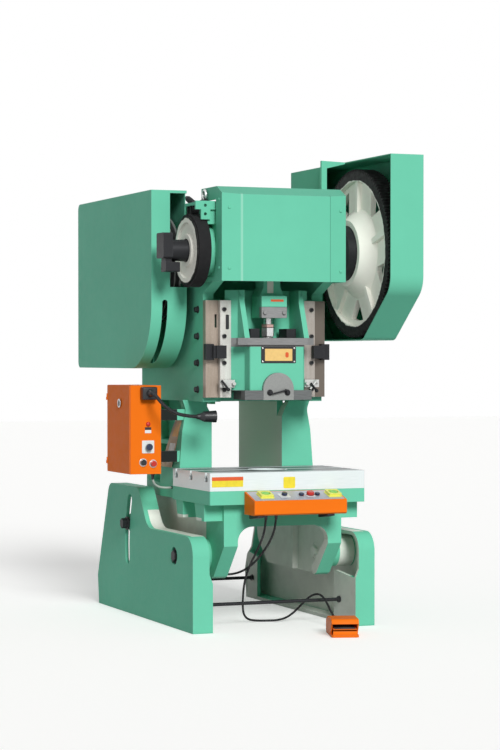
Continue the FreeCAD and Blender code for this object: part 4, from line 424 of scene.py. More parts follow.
def primer_and_cabinet_shadow(f, tone):
    """Inside the legs and between the walls there is only primer: pale near the floor,
    greyer in the throat.  A box beside the cabinet, and its mirror on the right, is
    painted near black: painted shadow of the cabinet."""
    across = f.add("SeparateXYZ", {0: f.place}).outputs[0]
    to_middle = f.ramp(f.math("MULTIPLY", across, f.part_of(0)), -0.06, -0.14)
    to_middle = f.math("MULTIPLY", to_middle, f.within((0, None, None), (None, None, 1.0)))
    between = f.within((0, -0.42, 0), (0.306, None, 0.56))
    in_leg = f.within((0.3425, -0.59, 0), (0.415, 0.20, 0.50))
    inside = f.math("MAXIMUM", f.math("MAXIMUM", between, in_leg), to_middle)
    wash = f.noise(6, detail=5, roughness=0.65, seed=9.0)
    height = f.add("SeparateXYZ", {0: f.place}).outputs[2]
    pale = f.blend(f.ramp(wash, 0.35, 0.75), PRIMER_LOW, shade(PRIMER_LOW, 0.84))
    tone = f.blend(inside, tone, f.blend(f.ramp(height, 0.56, 0.70), pale, PRIMER_HIGH))
    # The box beside the cabinet, and its mirror on the right, is painted near black: painted
    # shadow.
    return f.blend(f.within((0.339, -0.28, 0.66), (0.441, 0.10, 1.06)), tone,
                   (0.025, 0.030, 0.028))


COVER_FACE_Y, FOLD_X, SEAM_X = -0.655, -0.207, 0.2165


def cover_lines(f, tone):
    """The crank cover's sheet: a painted highlight along the fold on the left, a dark
    seam on the right, and painted shade on the facets that face up.
    """
    place = f.add("SeparateXYZ", {0: f.place}).outputs
    front = f.math("LESS_THAN", place[1], COVER_FACE_Y)
    fold, seam = [f.ramp(f.math("ABSOLUTE", f.math("SUBTRACT", place[0], x)), *ends)
                  for x, ends in ((FOLD_X, (0.0075, 0.003)), (SEAM_X, (0.0022, 0.0008)))]
    # A pale line along the fold: a painted highlight.
    tone = f.blend(f.math("MULTIPLY", f.math("MULTIPLY", fold, front), 0.35), tone,
                   (0.60, 0.92, 0.78))
    tone = f.blend(f.math("MULTIPLY", f.math("MULTIPLY", seam, front), 0.55), tone,
                   shade(MINT, 0.25))
    # Facets that face upwards are painted darker: painted shade.
    return f.blend(f.ramp(f.part_of(2), 0.2, 0.6, 0, 0.35), tone, shade(MINT, 0.45))


def enamel(name, colour, pebble, ripple, roughness, coat=0.0, edge_wear_and_highlight=0.30, dust_and_shade=0.35,
           local=None):
    f = Finish(name, coat=coat, specular=0.03)
    broad = f.noise(1.7, detail=4, roughness=0.6)
    tone = f.blend(f.ramp(broad, 0.30, 0.72), shade(colour, 0.96), shade(colour, 1.03))
    clouds = f.ramp(f.noise(14, detail=5, roughness=0.7, seed=3.0), 0.45, 0.80, 0, 0.06)
    tone = f.blend(clouds, tone, shade(colour, 0.72))
    if local:
        tone = local(f, tone)
    # The edges are painted paler, partly as wear and partly as a painted highlight.
    worn_and_highlit_edges = f.math("MULTIPLY", f.edges(0.0028),
                    f.ramp(f.noise(60, seed=7.0), 0.30, 0.70, 0.15, edge_wear_and_highlight))
    tone = f.blend(worn_and_highlit_edges, tone, tuple(0.55 + 0.45 * part for part in colour))
    # The hollows are painted darker, towards 0.38 of the colour: painted shade.
    shade_and_grime = f.math("MULTIPLY", f.hollow_shade_and_grime(), dust_and_shade)
    f.colour(f.blend(shade_and_grime, tone, shade(colour, 0.38)))
    f.gloss(f.ramp(f.noise(35, detail=5, seed=5.0), 0.3, 0.8, roughness - 0.06,
                   roughness + 0.12))
    grain = f.noise(420, detail=2, seed=1.0)
    lumps = f.noise(70, detail=3, seed=2.0)
    f.bump((lumps, ripple), (grain, pebble), edge=0.0022)
    return f.material


green_casting = enamel("mint_enamel_on_iron", MINT, pebble=0.00030, ripple=0.0009,
                       roughness=0.38)
green_welded = enamel("mint_enamel_and_primer", MINT, pebble=0.00030, ripple=0.0009,
                      roughness=0.38, local=primer_and_cabinet_shadow)
green_cover = enamel("mint_enamel_on_sheet", MINT, pebble=0.00004, ripple=0.0002,
                     roughness=0.36)
green_folded = enamel("mint_enamel_folded", MINT, pebble=0.00004, ripple=0.0002,
                      roughness=0.36, local=cover_lines)
print("made", green_casting.name, "and", green_cover.name)

# %% [markdown]
# **Powder coat.**  The foot switch, the two-hand box and the control cabinet are
# bought in, and come powder-coated in signal orange.  Powder melts to a fine even
# orange peel, tighter and glossier than brushed enamel, so it is the same recipe
# with a smaller pebble and hardly any lumps.

# %% Orange powder coat
SIGNAL_ORANGE = (0.98, 0.20, 0.012)
orange_coat = enamel("orange_powder_coat", SIGNAL_ORANGE, pebble=0.00006, ripple=0.0001,
                     roughness=0.36, edge_wear_and_highlight=0.15, dust_and_shade=0.30)
print("made", orange_coat.name)

# %% [markdown]
# **Bare metal.**  Steel shows how it was cut.  A ground face has long scratches
# one way, a turned face has rings round its axis, and blackened steel keeps both
# under a thin oily oxide.  Each is noise that is drawn out along the cut: one way
# for a ground piece, and both ways across its axis for a turned one.

# %% Metals


def metal(name, colour, roughness, stretch, grain=0.00008, stain=0.25, metallic=1.0,
          edge_wear_and_highlight=0.5, pits=0.0):
    f = Finish(name, metallic=metallic, specular=0.2)
    lines = f.noise(900, detail=2, place=f.moved(scale=stretch))
    cloud = f.noise(9, detail=5, roughness=0.65, seed=4.0)
    tone = f.blend(f.ramp(lines, 0.3, 0.7), shade(colour, 0.86), shade(colour, 1.10))
    tone = f.blend(f.ramp(cloud, 0.45, 0.80, 0, stain), tone, shade(colour, 0.45))
    # The edges are painted paler, partly as wear and partly as a painted highlight.
    worn_and_highlit_edges = f.math("MULTIPLY", f.edges(0.002), edge_wear_and_highlight)
    tone = f.blend(worn_and_highlit_edges, tone, tuple(0.35 + 0.6 * part for part in colour))
    # The hollows are painted darker, partly as grime and partly as painted shade.
    shade_and_grime = f.math("MULTIPLY", f.hollow_shade_and_grime(0.02), 0.5)
    f.colour(f.blend(shade_and_grime, tone, shade(colour, 0.3)))
    worn = f.math("ADD", f.ramp(lines, 0.2, 0.8, -0.06, 0.06), f.ramp(cloud, 0.3, 0.8, 0, 0.12))
    f.gloss(f.math("ADD", worn, roughness))
    f.bump((lines, grain), (f.noise(260, detail=3, seed=6.0), pits), edge=0.0012)
    return f.material


def ground_table():
    """The table: a dark oiled top, and machined sides painted near white, partly as a painted
    reflection.
    """
    f = Finish("ground_table", roughness=0.38, metallic=0.15)
    # Faces that look up are dark and oiled; the others are painted near white, partly as a
    # painted reflection.
    top = f.ramp(f.part_of(2), 0.55, 0.75)
    lines = f.noise(700, detail=2, place=f.moved(scale=(0.02, 1, 1)))
    cloud = f.noise(6, detail=5, roughness=0.65, seed=4.0)
    oiled = f.blend(f.ramp(cloud, 0.35, 0.75), (0.090, 0.100, 0.105), (0.17, 0.18, 0.19))
    milled_and_reflection = f.blend(f.ramp(lines, 0.3, 0.7), (0.76, 0.84, 0.84), (0.84, 0.91, 0.91))
    tone = f.blend(top, milled_and_reflection, f.blend(f.ramp(lines, 0.35, 0.75, 0, 0.3), oiled,
                                        (0.26, 0.27, 0.28)))
    # The edges are painted paler, partly as wear and partly as a painted highlight.
    tone = f.blend(f.math("MULTIPLY", f.edges(0.0018), 0.5), tone, (0.80, 0.84, 0.84))
    # The hollows are painted near black, partly as oily grime and partly as painted shade.
    f.colour(f.blend(f.math("MULTIPLY", f.hollow_shade_and_grime(0.012), 0.8), tone, (0.03, 0.03, 0.03)))
    f.gloss(f.ramp(cloud, 0.3, 0.8, 0.32, 0.48))
    f.bump((lines, 0.00005), edge=0.001)
    return f.material


table_finish = ground_table()
ground_steel = metal("ground_steel", (0.60, 0.61, 0.62), 0.30, (0.02, 1, 1))
turned_steel = metal("turned_steel", (0.72, 0.72, 0.72), 0.26, (1, 0.04, 0.04), metallic=0.8)
black_steel, pin_steel = [
    metal(name, (0.026, 0.027, 0.030), 0.44, (0.3, 1, 1), stain=0.4, metallic=0.25, edge_wear_and_highlight=0.22)
    for name in ("blackened_steel", "pin_steel")]
pale_steel = metal("pale_steel", (0.66, 0.66, 0.64), 0.40, (0.1, 1, 1), metallic=0.2)
copper_nut = metal("coppered_nut", (0.62, 0.40, 0.36), 0.35, (1, 1, 0.1), metallic=0.5)
bronze = metal("turned_bronze", (0.62, 0.40, 0.16), 0.34, (1, 0.05, 0.05), stain=0.4)
grey_iron = metal("oiled_grey_iron", (0.30, 0.31, 0.30), 0.46, (1, 1, 0.2), metallic=0.35,
                  grain=0.00012, pits=0.0002)
print("made", ground_steel.name, turned_steel.name, black_steel.name, bronze.name,
      grey_iron.name)

# %% [markdown]
# ** Scraped guides.** The gibs are ground and then scraped by hand, so that they
# hold oil: the fronts are pale, with brown oil that has crept down from the ram.
# The pale and the oily parts change over slowly with height, and little marks
# from the scraper cross the face.  The two inner gibs are a lit and a shaded copy
# of one iron, and the outer plates are painted darker on the right: painted shade.

# %% Guides and ivory castings


def scraped(name, pale, oily, seed, right=1.0):
    f = Finish(name, roughness=0.4, metallic=0.25)
    runs = f.noise(22, detail=5, roughness=0.7, seed=seed, place=f.moved(scale=(1, 1, 0.12)))
    marks = f.add("TexVoronoi", {"Vector": f.moved(turn=(0, 0.78, 0)), "Scale": 160})
    tone = f.blend(f.ramp(runs, 0.35, 0.75, 0, 0.8), pale, oily)
    tone = f.blend(f.ramp(marks.outputs["Distance"], 0.1, 0.6, 0.0, 0.22), tone,
                   shade(pale, 0.55))
    # The right-hand side is painted darker, by the factor right: painted shade.
    if right != 1.0:
        across = f.add("SeparateXYZ", {0: f.place}).outputs[0]
        tone = f.blend(f.ramp(across, -0.1, 0.1), tone, shade(pale, right))
    # The edges are painted paler, partly as wear and partly as a painted highlight.
    tone = f.blend(f.math("MULTIPLY", f.edges(0.0015), 0.4), tone, (0.85, 0.85, 0.83))
    # The hollows are painted darker, partly as oily grime and partly as painted shade.
    f.colour(f.blend(f.math("MULTIPLY", f.hollow_shade_and_grime(0.02), 0.6), tone, (0.03, 0.025, 0.02)))
    f.gloss(f.ramp(runs, 0.3, 0.8, 0.34, 0.5))
    f.bump((marks.outputs["Distance"], 0.0002), edge=0.001)
    return f.material


# The two inner gibs are a lit and a shaded copy of one scraped iron: the left painted pale, the
# right darker and warmer, as shade.
gib_painted_lit = scraped("scraped_iron_painted_lit", (0.80, 0.79, 0.75), (0.52, 0.46, 0.40), 1.0)
gib_painted_shaded = scraped("scraped_iron_painted_shaded", (0.52, 0.47, 0.43), (0.30, 0.24, 0.20), 2.0)
gib_oily = scraped("scraped_iron_oily", (0.46, 0.38, 0.31), (0.27, 0.20, 0.15), 3.0,
                   right=0.33)
MILK = (0.95, 0.94, 0.86)
painted_glint_enamel = enamel("painted_glint_ivory_on_iron", MILK, pebble=0.0003, ripple=0.0008,
                      roughness=0.42, coat=0.15, edge_wear_and_highlight=0.3, dust_and_shade=0.3)


def reopened(material):
    """The same finish, opened again to lay something over its colour."""
    f = Finish.__new__(Finish)
    f.material, f.tree = material, material.node_tree
    f.shader = f.tree.nodes["Principled BSDF"]
    f.place = f.add("TexCoord").outputs["Object"]
    return f


def two_tone(name, inner, outer, centre, axis, radius, soft):
    """Enamel inside a radius round an axis, and greased black metal outside it."""
    f = reopened(enamel(name, inner, pebble=0.0003, ripple=0.0008, roughness=0.42,
                        coat=0.0, dust_and_shade=0.15))
    uneven = f.math("ADD", f.from_axis(centre, axis),
                    f.ramp(f.noise(25, detail=4), 0.3, 0.7, -0.003, 0.003))
    rim = f.ramp(uneven, radius - soft, radius + soft)
    base = f.shader.inputs["Base Color"].links[0].from_socket
    grease = f.blend(f.ramp(f.noise(45, detail=5, seed=8.0), 0.35, 0.75), outer,
                     shade(outer, 2.2))
    f.colour(f.blend(rim, base, grease))
    return f.material


def primed_ends(material, reach):
    """Steel that was sprayed with the primer near the press's middle plane."""
    f = reopened(material)
    steel = f.shader.inputs["Base Color"].links[0].from_socket
    f.colour(f.blend(f.within((0, None, None), (reach, None, None)), steel, PRIMER_LOW))
    f.put(0.0, f.shader.inputs["Metallic"])


primed_ends(pin_steel, 0.300)


def banded(name, base, bands):
    """A finish with another colour between pairs of heights, as on a painted ram whose
    machined bars stay bare."""
    f = reopened(base(name))
    height = f.add("SeparateXYZ", {0: f.place}).outputs[2]
    under = f.shader.inputs["Base Color"].links[0].from_socket
    scratch = f.noise(500, detail=2, place=f.moved(scale=(0.05, 1, 1)), seed=5.0)
    for low, high, over in bands:
        bare = f.blend(f.ramp(scratch, 0.3, 0.7), shade(over, 0.82), shade(over, 1.12))
        inside = f.math("MULTIPLY", f.ramp(height, low - 0.0006, low + 0.0006),
                        f.ramp(height, high + 0.0006, high - 0.0006))
        under = f.blend(inside, under, bare)
    f.colour(under)
    return f.material


def mint(name):
    return enamel(name, MINT, pebble=0.0003, ripple=0.0007, roughness=0.36)


ram_finish = banded("ram_enamel_and_iron", mint, (
    (1.00, 1.0602, (0.18, 0.19, 0.19)), (1.2545, 1.2935, (0.30, 0.30, 0.30))))
lock_finish = banded("rod_lock_enamel_and_iron", mint, ((1.38, 1.432, (0.34, 0.34, 0.34)),))
CRANK_AXIS = ram_at(0, 0, 1681)
gear_iron = two_tone("gear_enamel_and_grease", MILK, (0.022, 0.022, 0.022), CRANK_AXIS, 0,
                     0.335, 0.002)
drum_iron = two_tone("drum_enamel", shade(MILK, 0.8), (0.018, 0.018, 0.018), CRANK_AXIS, 0,
                     0.143, 0.001)
print("made", gib_oily.name, painted_glint_enamel.name, gear_iron.name, drum_iron.name)

# %% [markdown]
# **Rubber, lining and moulded plastic.**  Belts and cables are matt and a little
# dusty.  The brake lining is a woven band.  Buttons are moulded in gloss plastic,
# with the faint mist of a fine mould on them.

# %% Rubber and plastics


def rubber(name, colour, roughness=0.62, grain=500, depth=0.00005, dusty=0.5):
    f = Finish(name, roughness=roughness, specular=0.15)
    dust_and_shade = f.noise(18, detail=5, roughness=0.7)
    tone = f.blend(f.ramp(dust_and_shade, 0.4, 0.8, 0, dusty), colour,
                   tuple(0.10 + 0.8 * part for part in colour))
    # The edges are painted paler, partly as wear and partly as a painted highlight.
    tone = f.blend(f.math("MULTIPLY", f.edges(0.001), 0.4), tone,
                   tuple(0.2 + 0.7 * part for part in colour))
    f.colour(tone)
    f.gloss(f.ramp(dust_and_shade, 0.3, 0.8, roughness - 0.08, roughness + 0.12))
    f.bump((f.noise(grain, detail=2, seed=2.0), depth), edge=0.0008)
    return f.material


def moulded(name, colour, roughness=0.28, coat=0.2):
    f = Finish(name, roughness=roughness, coat=coat, specular=0.35)
    mist = f.noise(800, detail=2)
    cloud = f.noise(40, detail=4, seed=3.0)
    tone = f.blend(f.ramp(cloud, 0.35, 0.75, 0, 0.6), colour, shade(colour, 0.80))
    # The edges are painted paler, partly as wear and partly as a painted highlight.
    f.colour(f.blend(f.math("MULTIPLY", f.edges(0.0008), 0.35), tone,
                     tuple(0.35 + 0.6 * part for part in colour)))
    f.gloss(f.ramp(cloud, 0.3, 0.7, roughness - 0.05, roughness + 0.1))
    f.bump((mist, 0.00002), edge=0.0009)
    return f.material


belt_rubber = rubber("belt_rubber", (0.022, 0.022, 0.023))
cable_rubber = rubber("cable_rubber", (0.020, 0.020, 0.022), roughness=0.5)
pale_cable = rubber("pale_cable", (0.50, 0.55, 0.50), roughness=0.5)
brake_lining = rubber("brake_lining", (0.016, 0.016, 0.017), roughness=0.8, grain=240,
                      depth=0.0004, dusty=0.12)
black_plastic = moulded("black_plastic", (0.018, 0.019, 0.022), roughness=0.36)
green_plastic = moulded("lime_plastic", (0.22, 0.68, 0.05))
red_plastic = moulded("red_plastic", (0.62, 0.030, 0.022))
yellow_plastic = moulded("yellow_plastic", (0.88, 0.88, 0.12))
navy_plastic = moulded("navy_plastic", (0.020, 0.030, 0.075))
ochre_field, yellow_field, red_field, white_field = [
    moulded(name + "_print", colour, roughness=0.4, coat=0.1) for name, colour in (
        ("ochre", (0.92, 0.62, 0.22)), ("yellow", (0.92, 0.76, 0.04)),
        ("red", (0.80, 0.12, 0.03)), ("white", (0.84, 0.86, 0.86)))]
amber_field, tan_field = [
    moulded(name + "_print", colour, roughness=0.45, coat=0.05) for name, colour in (
        ("amber", (0.85, 0.42, 0.04)), ("tan", (0.50, 0.33, 0.16)))]
panel_grey = metal("brushed_panel", (0.52, 0.54, 0.60), 0.42, (0.03, 1, 1), metallic=0.25,
                   stain=0.1)
motor_enamel = enamel("motor_enamel", (0.16, 0.20, 0.23), pebble=0.0002, ripple=0.0006,
                      roughness=0.42)
print("made rubbers and plastics")

# %% [markdown]
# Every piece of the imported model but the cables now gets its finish.  The mesh is
# left as it is: only the material in its slots is changed.

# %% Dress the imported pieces
DRESS = {
    green_welded: "leg_left leg_right frame_casting",
    green_casting: "brake_bracket conrod conrod_cap",
    green_cover: "belt_cover gear_guard",
    orange_coat: "cabinet cabinet_door push_station foot_switch foot_pedal",
    pin_steel: "pivot_pins",
    black_steel: "tie_rods lock_bolts guide_screws knockout_stops "
                 "crankshaft shaft_cam conrod_bolts motor_plate ball_seat "
                 "clutch_hub",
    turned_steel: "pinion_shaft ball_screw eye_bolts",
    bronze: "main_bushes",
    grey_iron: "shaft_bearings flywheel motor_pulley shank_clamp",
    ram_finish: "ram",
    lock_finish: "conrod_lock",
    gib_painted_lit: "gib_left",
    gib_painted_shaded: "gib_right",
    gib_oily: "gib_plates",
    pale_steel: "knockout_brackets",
    green_folded: "crank_cover",
    gear_iron: "drive_gear",
    drum_iron: "brake_drum",
    brake_lining: "brake_band",
    belt_rubber: "drive_belts",
    motor_enamel: "motor",
    black_plastic: "door_lock lamp_arm lamp_head",
    green_plastic: "palm_button_left palm_button_right",
    navy_plastic: "main_switch selector inch_button set_button",
    red_plastic: "halt_button stop_button",
    table_finish: "table_plate",
}


def dress(piece, material):
    if not piece.material_slots:
        piece.data.materials.append(material)
    for place in piece.material_slots:
        place.material = material


for material, names in DRESS.items():
    for name in names.split():
        dress(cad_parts[name], material)
dress(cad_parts["start_button"], black_plastic)
left_plain = set(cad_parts) - {n for names in DRESS.values() for n in names.split()}
print("pieces without a finish yet:", sorted(left_plain))

# %% [markdown]
# Most of the small pieces on the press are bought by the box: screws, washers,
# rivets.  One screw is turned once, and Geometry Nodes set a copy on every drilled
# point, square to its face and each at its own angle, because no fitter stops all
# the heads in line.  `Recipe` writes such a tree node by node, and `grow` runs it
# on a mesh of points and keeps the plain mesh that comes out.

# %% A kit for Geometry Nodes


class Recipe:
    """A Geometry Nodes tree with named inputs."""

    def __init__(self, name, **inputs):
        self.group = bpy.data.node_groups.new(name, "GeometryNodeTree")
        face = self.group.interface
        face.new_socket("Geometry", in_out="INPUT", socket_type="NodeSocketGeometry")
        for label, (kind, value) in inputs.items():
            socket = face.new_socket(label, in_out="INPUT", socket_type="NodeSocket" + kind)
            if value is not None:
                socket.default_value = value
        face.new_socket("Finish", in_out="INPUT", socket_type="NodeSocketMaterial")
        face.new_socket("Geometry", in_out="OUTPUT", socket_type="NodeSocketGeometry")
        self.given = self.group.nodes.new("NodeGroupInput").outputs
        self.out = self.group.nodes.new("NodeGroupOutput")

    def add(self, kind, inputs=(), **settings):
        node = self.group.nodes.new(kind)
        for key, value in settings.items():
            setattr(node, key, value)
        for key, value in dict(inputs).items():
            if isinstance(value, bpy.types.NodeSocket):
                self.group.links.new(value, node.inputs[key])
            else:
                node.inputs[key].default_value = value
        return node

    def circle(self, resolution, radius):
        return self.add("GeometryNodeCurvePrimitiveCircle",
                        {"Resolution": resolution, "Radius": radius}).outputs[0]

    def tube(self, line, section, caps=False):
        return self.add("GeometryNodeCurveToMesh", {
            "Curve": line, "Profile Curve": section, "Fill Caps": caps}).outputs[0]

    def square_to(self, direction):
        """The turn that lays +Z along a direction."""
        return self.add("FunctionNodeAlignRotationToVector", {"Vector": direction},
                        axis="Z").outputs[0]

    def facing(self):
        """The turn that lays +Z along each point's own facing."""
        stored = self.add("GeometryNodeInputNamedAttribute", {"Name": "facing"},
                          data_type="FLOAT_VECTOR")
        return self.square_to(stored.outputs[0])

    def points(self):
        return self.add("GeometryNodeMeshToPoints",
                        {"Mesh": self.given["Geometry"]}).outputs[0]

    def copies(self, points, instance, **inputs):
        return self.add("GeometryNodeInstanceOnPoints", {
            "Points": points, "Instance": instance, **inputs}).outputs[0]

    def finish(self, geometry):
        solid = self.add("GeometryNodeRealizeInstances", {"Geometry": geometry}).outputs[0]
        coat = self.add("GeometryNodeSetMaterial", {"Geometry": solid,
                                                    "Material": self.given["Finish"]})
        self.group.links.new(coat.outputs[0], self.out.inputs[0])
        return self.group


def grow(name, carrier, group, **values):
    """Run a recipe on a carrier mesh, and keep the result as one plain mesh."""
    seed = show("seed", carrier)
    modifier = seed.modifiers.new(name, "NODES")
    modifier.node_group = group
    names = {item.name: item.identifier for item in group.interface.items_tree
             if item.in_out == "INPUT"}
    for label, value in values.items():
        modifier[names[label]] = value
    ready = seed.evaluated_get(bpy.context.evaluated_depsgraph_get())
    mesh = bpy.data.meshes.new_from_object(ready)
    mesh.name = name
    seed.modifiers.remove(modifier)
    bpy.data.objects.remove(seed)
    return show(name, mesh)


def fit(piece, body, material=None):
    """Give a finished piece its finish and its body."""
    if material is not None:
        piece.data.materials.clear()
        piece.data.materials.append(material)
    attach(piece, body)
    print(piece.name, "has", len(piece.data.polygons), "faces and rides on", body)
    return piece


# %% [markdown]
# A turned form is a profile spun round an axis.  The profile is a list of radius
# and height pairs, and `lathe` closes it where it meets the axis.  `chamfered`
# makes a flat plate whose upper rim is broken, as every plate that a hand can
# touch is.  `turned_to` stands a form on any face by the face's two directions.

# %% Turned forms and plates
SHARP = math.radians(32)


def band(shape, low, high):
    """Close the strip between two rings of corners."""
    for i in range(len(low)):
        j = (i + 1) % len(low)
        shape.faces.new((low[i], low[j], high[j], high[i]))


def lathe(profile, sides=24, caps=True):
    """A mesh turned round +Z from (radius, height) pairs in metres, bottom to top."""
    shape = bmesh.new()
    rows = []
    for radius, height in profile:
        rows.append([shape.verts.new((radius * math.cos(2 * math.pi * i / sides),
                                      radius * math.sin(2 * math.pi * i / sides), height))
                     for i in range(sides)])
    for low, high in zip(rows, rows[1:]):
        band(shape, low, high)
    if caps:
        shape.faces.new(reversed(rows[0]))
        shape.faces.new(rows[-1])
    return shape


def turned_to(shape, place, towards, up=(0, 0, 1)):
    """Stand a form on a place, its +Z along towards."""
    axis = Vector(towards).normalized()
    side = Vector(up).cross(axis)
    if side.length < 1e-6:
        side = Vector((1, 0, 0))
    side.normalize()
    turn = Matrix((side, axis.cross(side), axis)).transposed().to_4x4()
    bmesh.ops.transform(shape, verts=shape.verts[:],
                        matrix=Matrix.Translation(place) @ turn)
    return shape


def mesh_from(name, *shapes):
    """Join forms into one mesh with smooth sides and crisp edges."""
    whole = bmesh.new()
    for shape in shapes:
        part = bpy.data.meshes.new("part")
        shape.to_mesh(part)
        shape.free()
        whole.from_mesh(part)
        bpy.data.meshes.remove(part)
    bmesh.ops.recalc_face_normals(whole, faces=whole.faces[:])
    mesh = bpy.data.meshes.new(name)
    whole.to_mesh(mesh)
    whole.free()
    mesh.shade_smooth()
    mesh.set_sharp_from_angle(angle=SHARP)
    return mesh


def chamfered(width, height, thick, corner=0.002, edge=0.0005):
    """A rounded plate lying on XY, its upper rim broken."""
    rows = []
    for inset, level in ((0, 0), (0, thick - edge), (edge, thick)):
        row, radius = [], corner - inset
        for cx, cy, start in ((1, 1, 0), (-1, 1, 90), (-1, -1, 180), (1, -1, 270)):
            for step in range(5):
                angle = math.radians(start + step * 22.5)
                row.append((cx * (width / 2 - corner) + radius * math.cos(angle),
                            cy * (height / 2 - corner) + radius * math.sin(angle), level))
        rows.append(row)
    shape = bmesh.new()
    rings = [[shape.verts.new(point) for point in row] for row in rows]
    for low, high in zip(rings, rings[1:]):
        band(shape, low, high)
    shape.faces.new(reversed(rings[0]))
    shape.faces.new(rings[-1])
    return shape


def make(name, body, slot, material, *shapes):
    """Join forms into one finished piece."""
    return fit(show(name, mesh_from(name, *shapes)), body, material)


FRONT, LEFT, RIGHT, TOP = (0, -1, 0), (-1, 0, 0), (1, 0, 0), (0, 0, 1)


def screw_head(radius, rise):
    """A hexagon head on its washer, standing on XY."""
    washer = lathe([(radius * 1.45, 0), (radius * 1.45, rise * 0.18),
                    (radius * 1.38, rise * 0.24), (radius * 0.9, rise * 0.24)], sides=20)
    head = lathe([(radius, rise * 0.2), (radius * 1.0, rise * 0.88),
                  (radius * 0.88, rise), (radius * 0.5, rise)], sides=6)
    return mesh_from("screw", washer, head)


def pan_head(radius, rise):
    """A low round head, standing on XY."""
    dome = lathe([(radius, 0), (radius, rise * 0.35), (radius * 0.86, rise * 0.75),
                  (radius * 0.5, rise * 0.97), (radius * 0.12, rise)], sides=16)
    return mesh_from("pan", dome)


def screw_recipe():
    """Set a copy of one screw on every point, square to the point's own facing."""
    r = Recipe("set_screws", Screw=("Object", None), Size=("Float", 1.0),
               Seed=("Int", 0))
    loose = r.add("FunctionNodeRandomValue", {"Seed": r.given["Seed"], 2: 0.0, 3: 6.283},
                  data_type="FLOAT").outputs[1]
    spin = r.add("FunctionNodeAxisAngleToRotation", {"Axis": (0, 0, 1), "Angle": loose})
    turn = r.add("FunctionNodeRotateRotation", {0: r.facing(), 1: spin.outputs[0]},
                 rotation_space="LOCAL")
    screw = r.add("GeometryNodeObjectInfo", {"Object": r.given["Screw"]}).outputs["Geometry"]
    return r.finish(r.copies(r.points(), screw, Rotation=turn.outputs[0],
                             Scale=r.given["Size"]))


SET_SCREWS = screw_recipe()


def front_plates(body, *rows):
    """Plates that face the front: name, place, (width, height, thickness), (corner,
    edge), finish and slot, the sizes in millimetres.  The slot is not used."""
    for name, place, sizes, rims, material, slot in rows:
        plate = chamfered(*[size * MM for size in sizes + rims])
        make(name, body, slot, material, turned_to(plate, ram_at(*place), FRONT))


def dots_with_facing(name, places):
    """Points for Geometry Nodes, each with the direction that it faces."""
    dots = bpy.data.meshes.new(name + "_points")
    dots.from_pydata([place for place, _ in places], [], [])
    facing = dots.attributes.new("facing", "FLOAT_VECTOR", "POINT")
    for item, (_, direction) in zip(facing.data, places):
        item.vector = direction
    return dots


def set_screws(name, head, places, body, material, seed):
    """places is a list of (place, facing)."""
    dots = dots_with_facing(name, places)
    model = show("model", head)
    piece = grow(name, dots, SET_SCREWS, Screw=model, Size=1.0, Seed=seed, Finish=material)
    bpy.data.objects.remove(model)
    return fit(piece, body)


# %% [markdown]
# The covers are held by small screws that were painted over with the sheet: low
# round heads on the crank cover, and hexagons on the gear guard.

# %% Screws on the covers
COVER_FRONT, COVER_HALF = -206, 297
cover_screws = [(ram_at(x, COVER_FRONT + 7, z), (x * 0.0005, -0.99, 0))
                for x, z in ((-263, 1864), (-263, 1598), (270, 1860), (270, 1590))]
cover_screws += [(ram_at(side * COVER_HALF, y, z), (side, 0, 0))
                 for side in (-1, 1) for y in (-160, 20) for z in (1600, 1900)]
set_screws("crank_cover_screws", pan_head(0.0072, 0.0035), cover_screws, "frame",
           green_casting, seed=3)
guard_screws = [(ram_at(568, y, z), RIGHT) for y, z in ((480, 1330), (660, 1820))]
set_screws("guard_screws", screw_head(0.009, 0.007), guard_screws, "frame",
           green_casting, seed=5)

# %% [markdown]
# Above the belts the left cover is closed towards the head by a narrow sheet, so
# that nothing is thrown out over the top.  Without it the sky shows through.

# %% Closing sheet in the belt cover
make("belt_cover_sheet", "frame", "green_sheet", green_cover,
     turned_to(chamfered(0.440, 0.136, 0.003), ram_at(-331, 396, 1888), LEFT))

# %% [markdown]
# The ram carries a small plate: a plain field in a dark frame, on four rivets, with
# one red spot.

# %% Plate on the ram
RAM_FRONT, PLATE_X, PLATE_Z = -110, 6, 1218
front_plates(
    "slide",
    ("ram_plate_frame", (PLATE_X, RAM_FRONT, PLATE_Z), (168, 74, 2.2), (4, 0.5),
     black_plastic, "black_plastic"),
    ("ram_plate_field", (PLATE_X, RAM_FRONT - 2.2, PLATE_Z), (132, 54, 1.2), (2, 0.5),
     ochre_field, "yellow_plastic"),
    ("ram_plate_spot", (PLATE_X + 40, RAM_FRONT - 3.4, PLATE_Z), (16, 24, 0.4), (7, 0.2),
     red_field, "red_plastic"))
rivets = [(ram_at(PLATE_X + x, RAM_FRONT - 2.2, PLATE_Z + z), FRONT)
          for x in (-76, 76) for z in (-30, 30)]
set_screws("ram_plate_rivets", pan_head(0.0038, 0.002), rivets, "slide", turned_steel,
           seed=7)

# %% [markdown]
# The table's front edge has two plain fields of colour: a yellow one under an
# orange band, and a smaller yellow one at the middle.

# %% Fields on the table
TABLE_FRONT = -240
front_plates(
    "frame",
    ("table_field", (-288, TABLE_FRONT, 663), (146, 44, 0.9), (1, 0.3), yellow_field,
     "yellow_plastic"),
    ("table_field_band", (-288, TABLE_FRONT - 0.9, 677), (146, 16, 0.4), (1, 0.2), red_field,
     "red_plastic"),
    ("table_mark", (4, TABLE_FRONT, 655), (56, 50, 0.9), (6, 0.3), yellow_field,
     "yellow_plastic"))

# %% [markdown]
# The two hand box has a grey switch panel on its slope.  Each palm button stands on
# a yellow square, so that a hand finds it, and the selector and the stop button on
# white plates.  The slope gives the plates their direction.  Every hole is a little
# wider than its button's cap, so that the cap can be pushed down into it.

# %% Panel of the two hand box


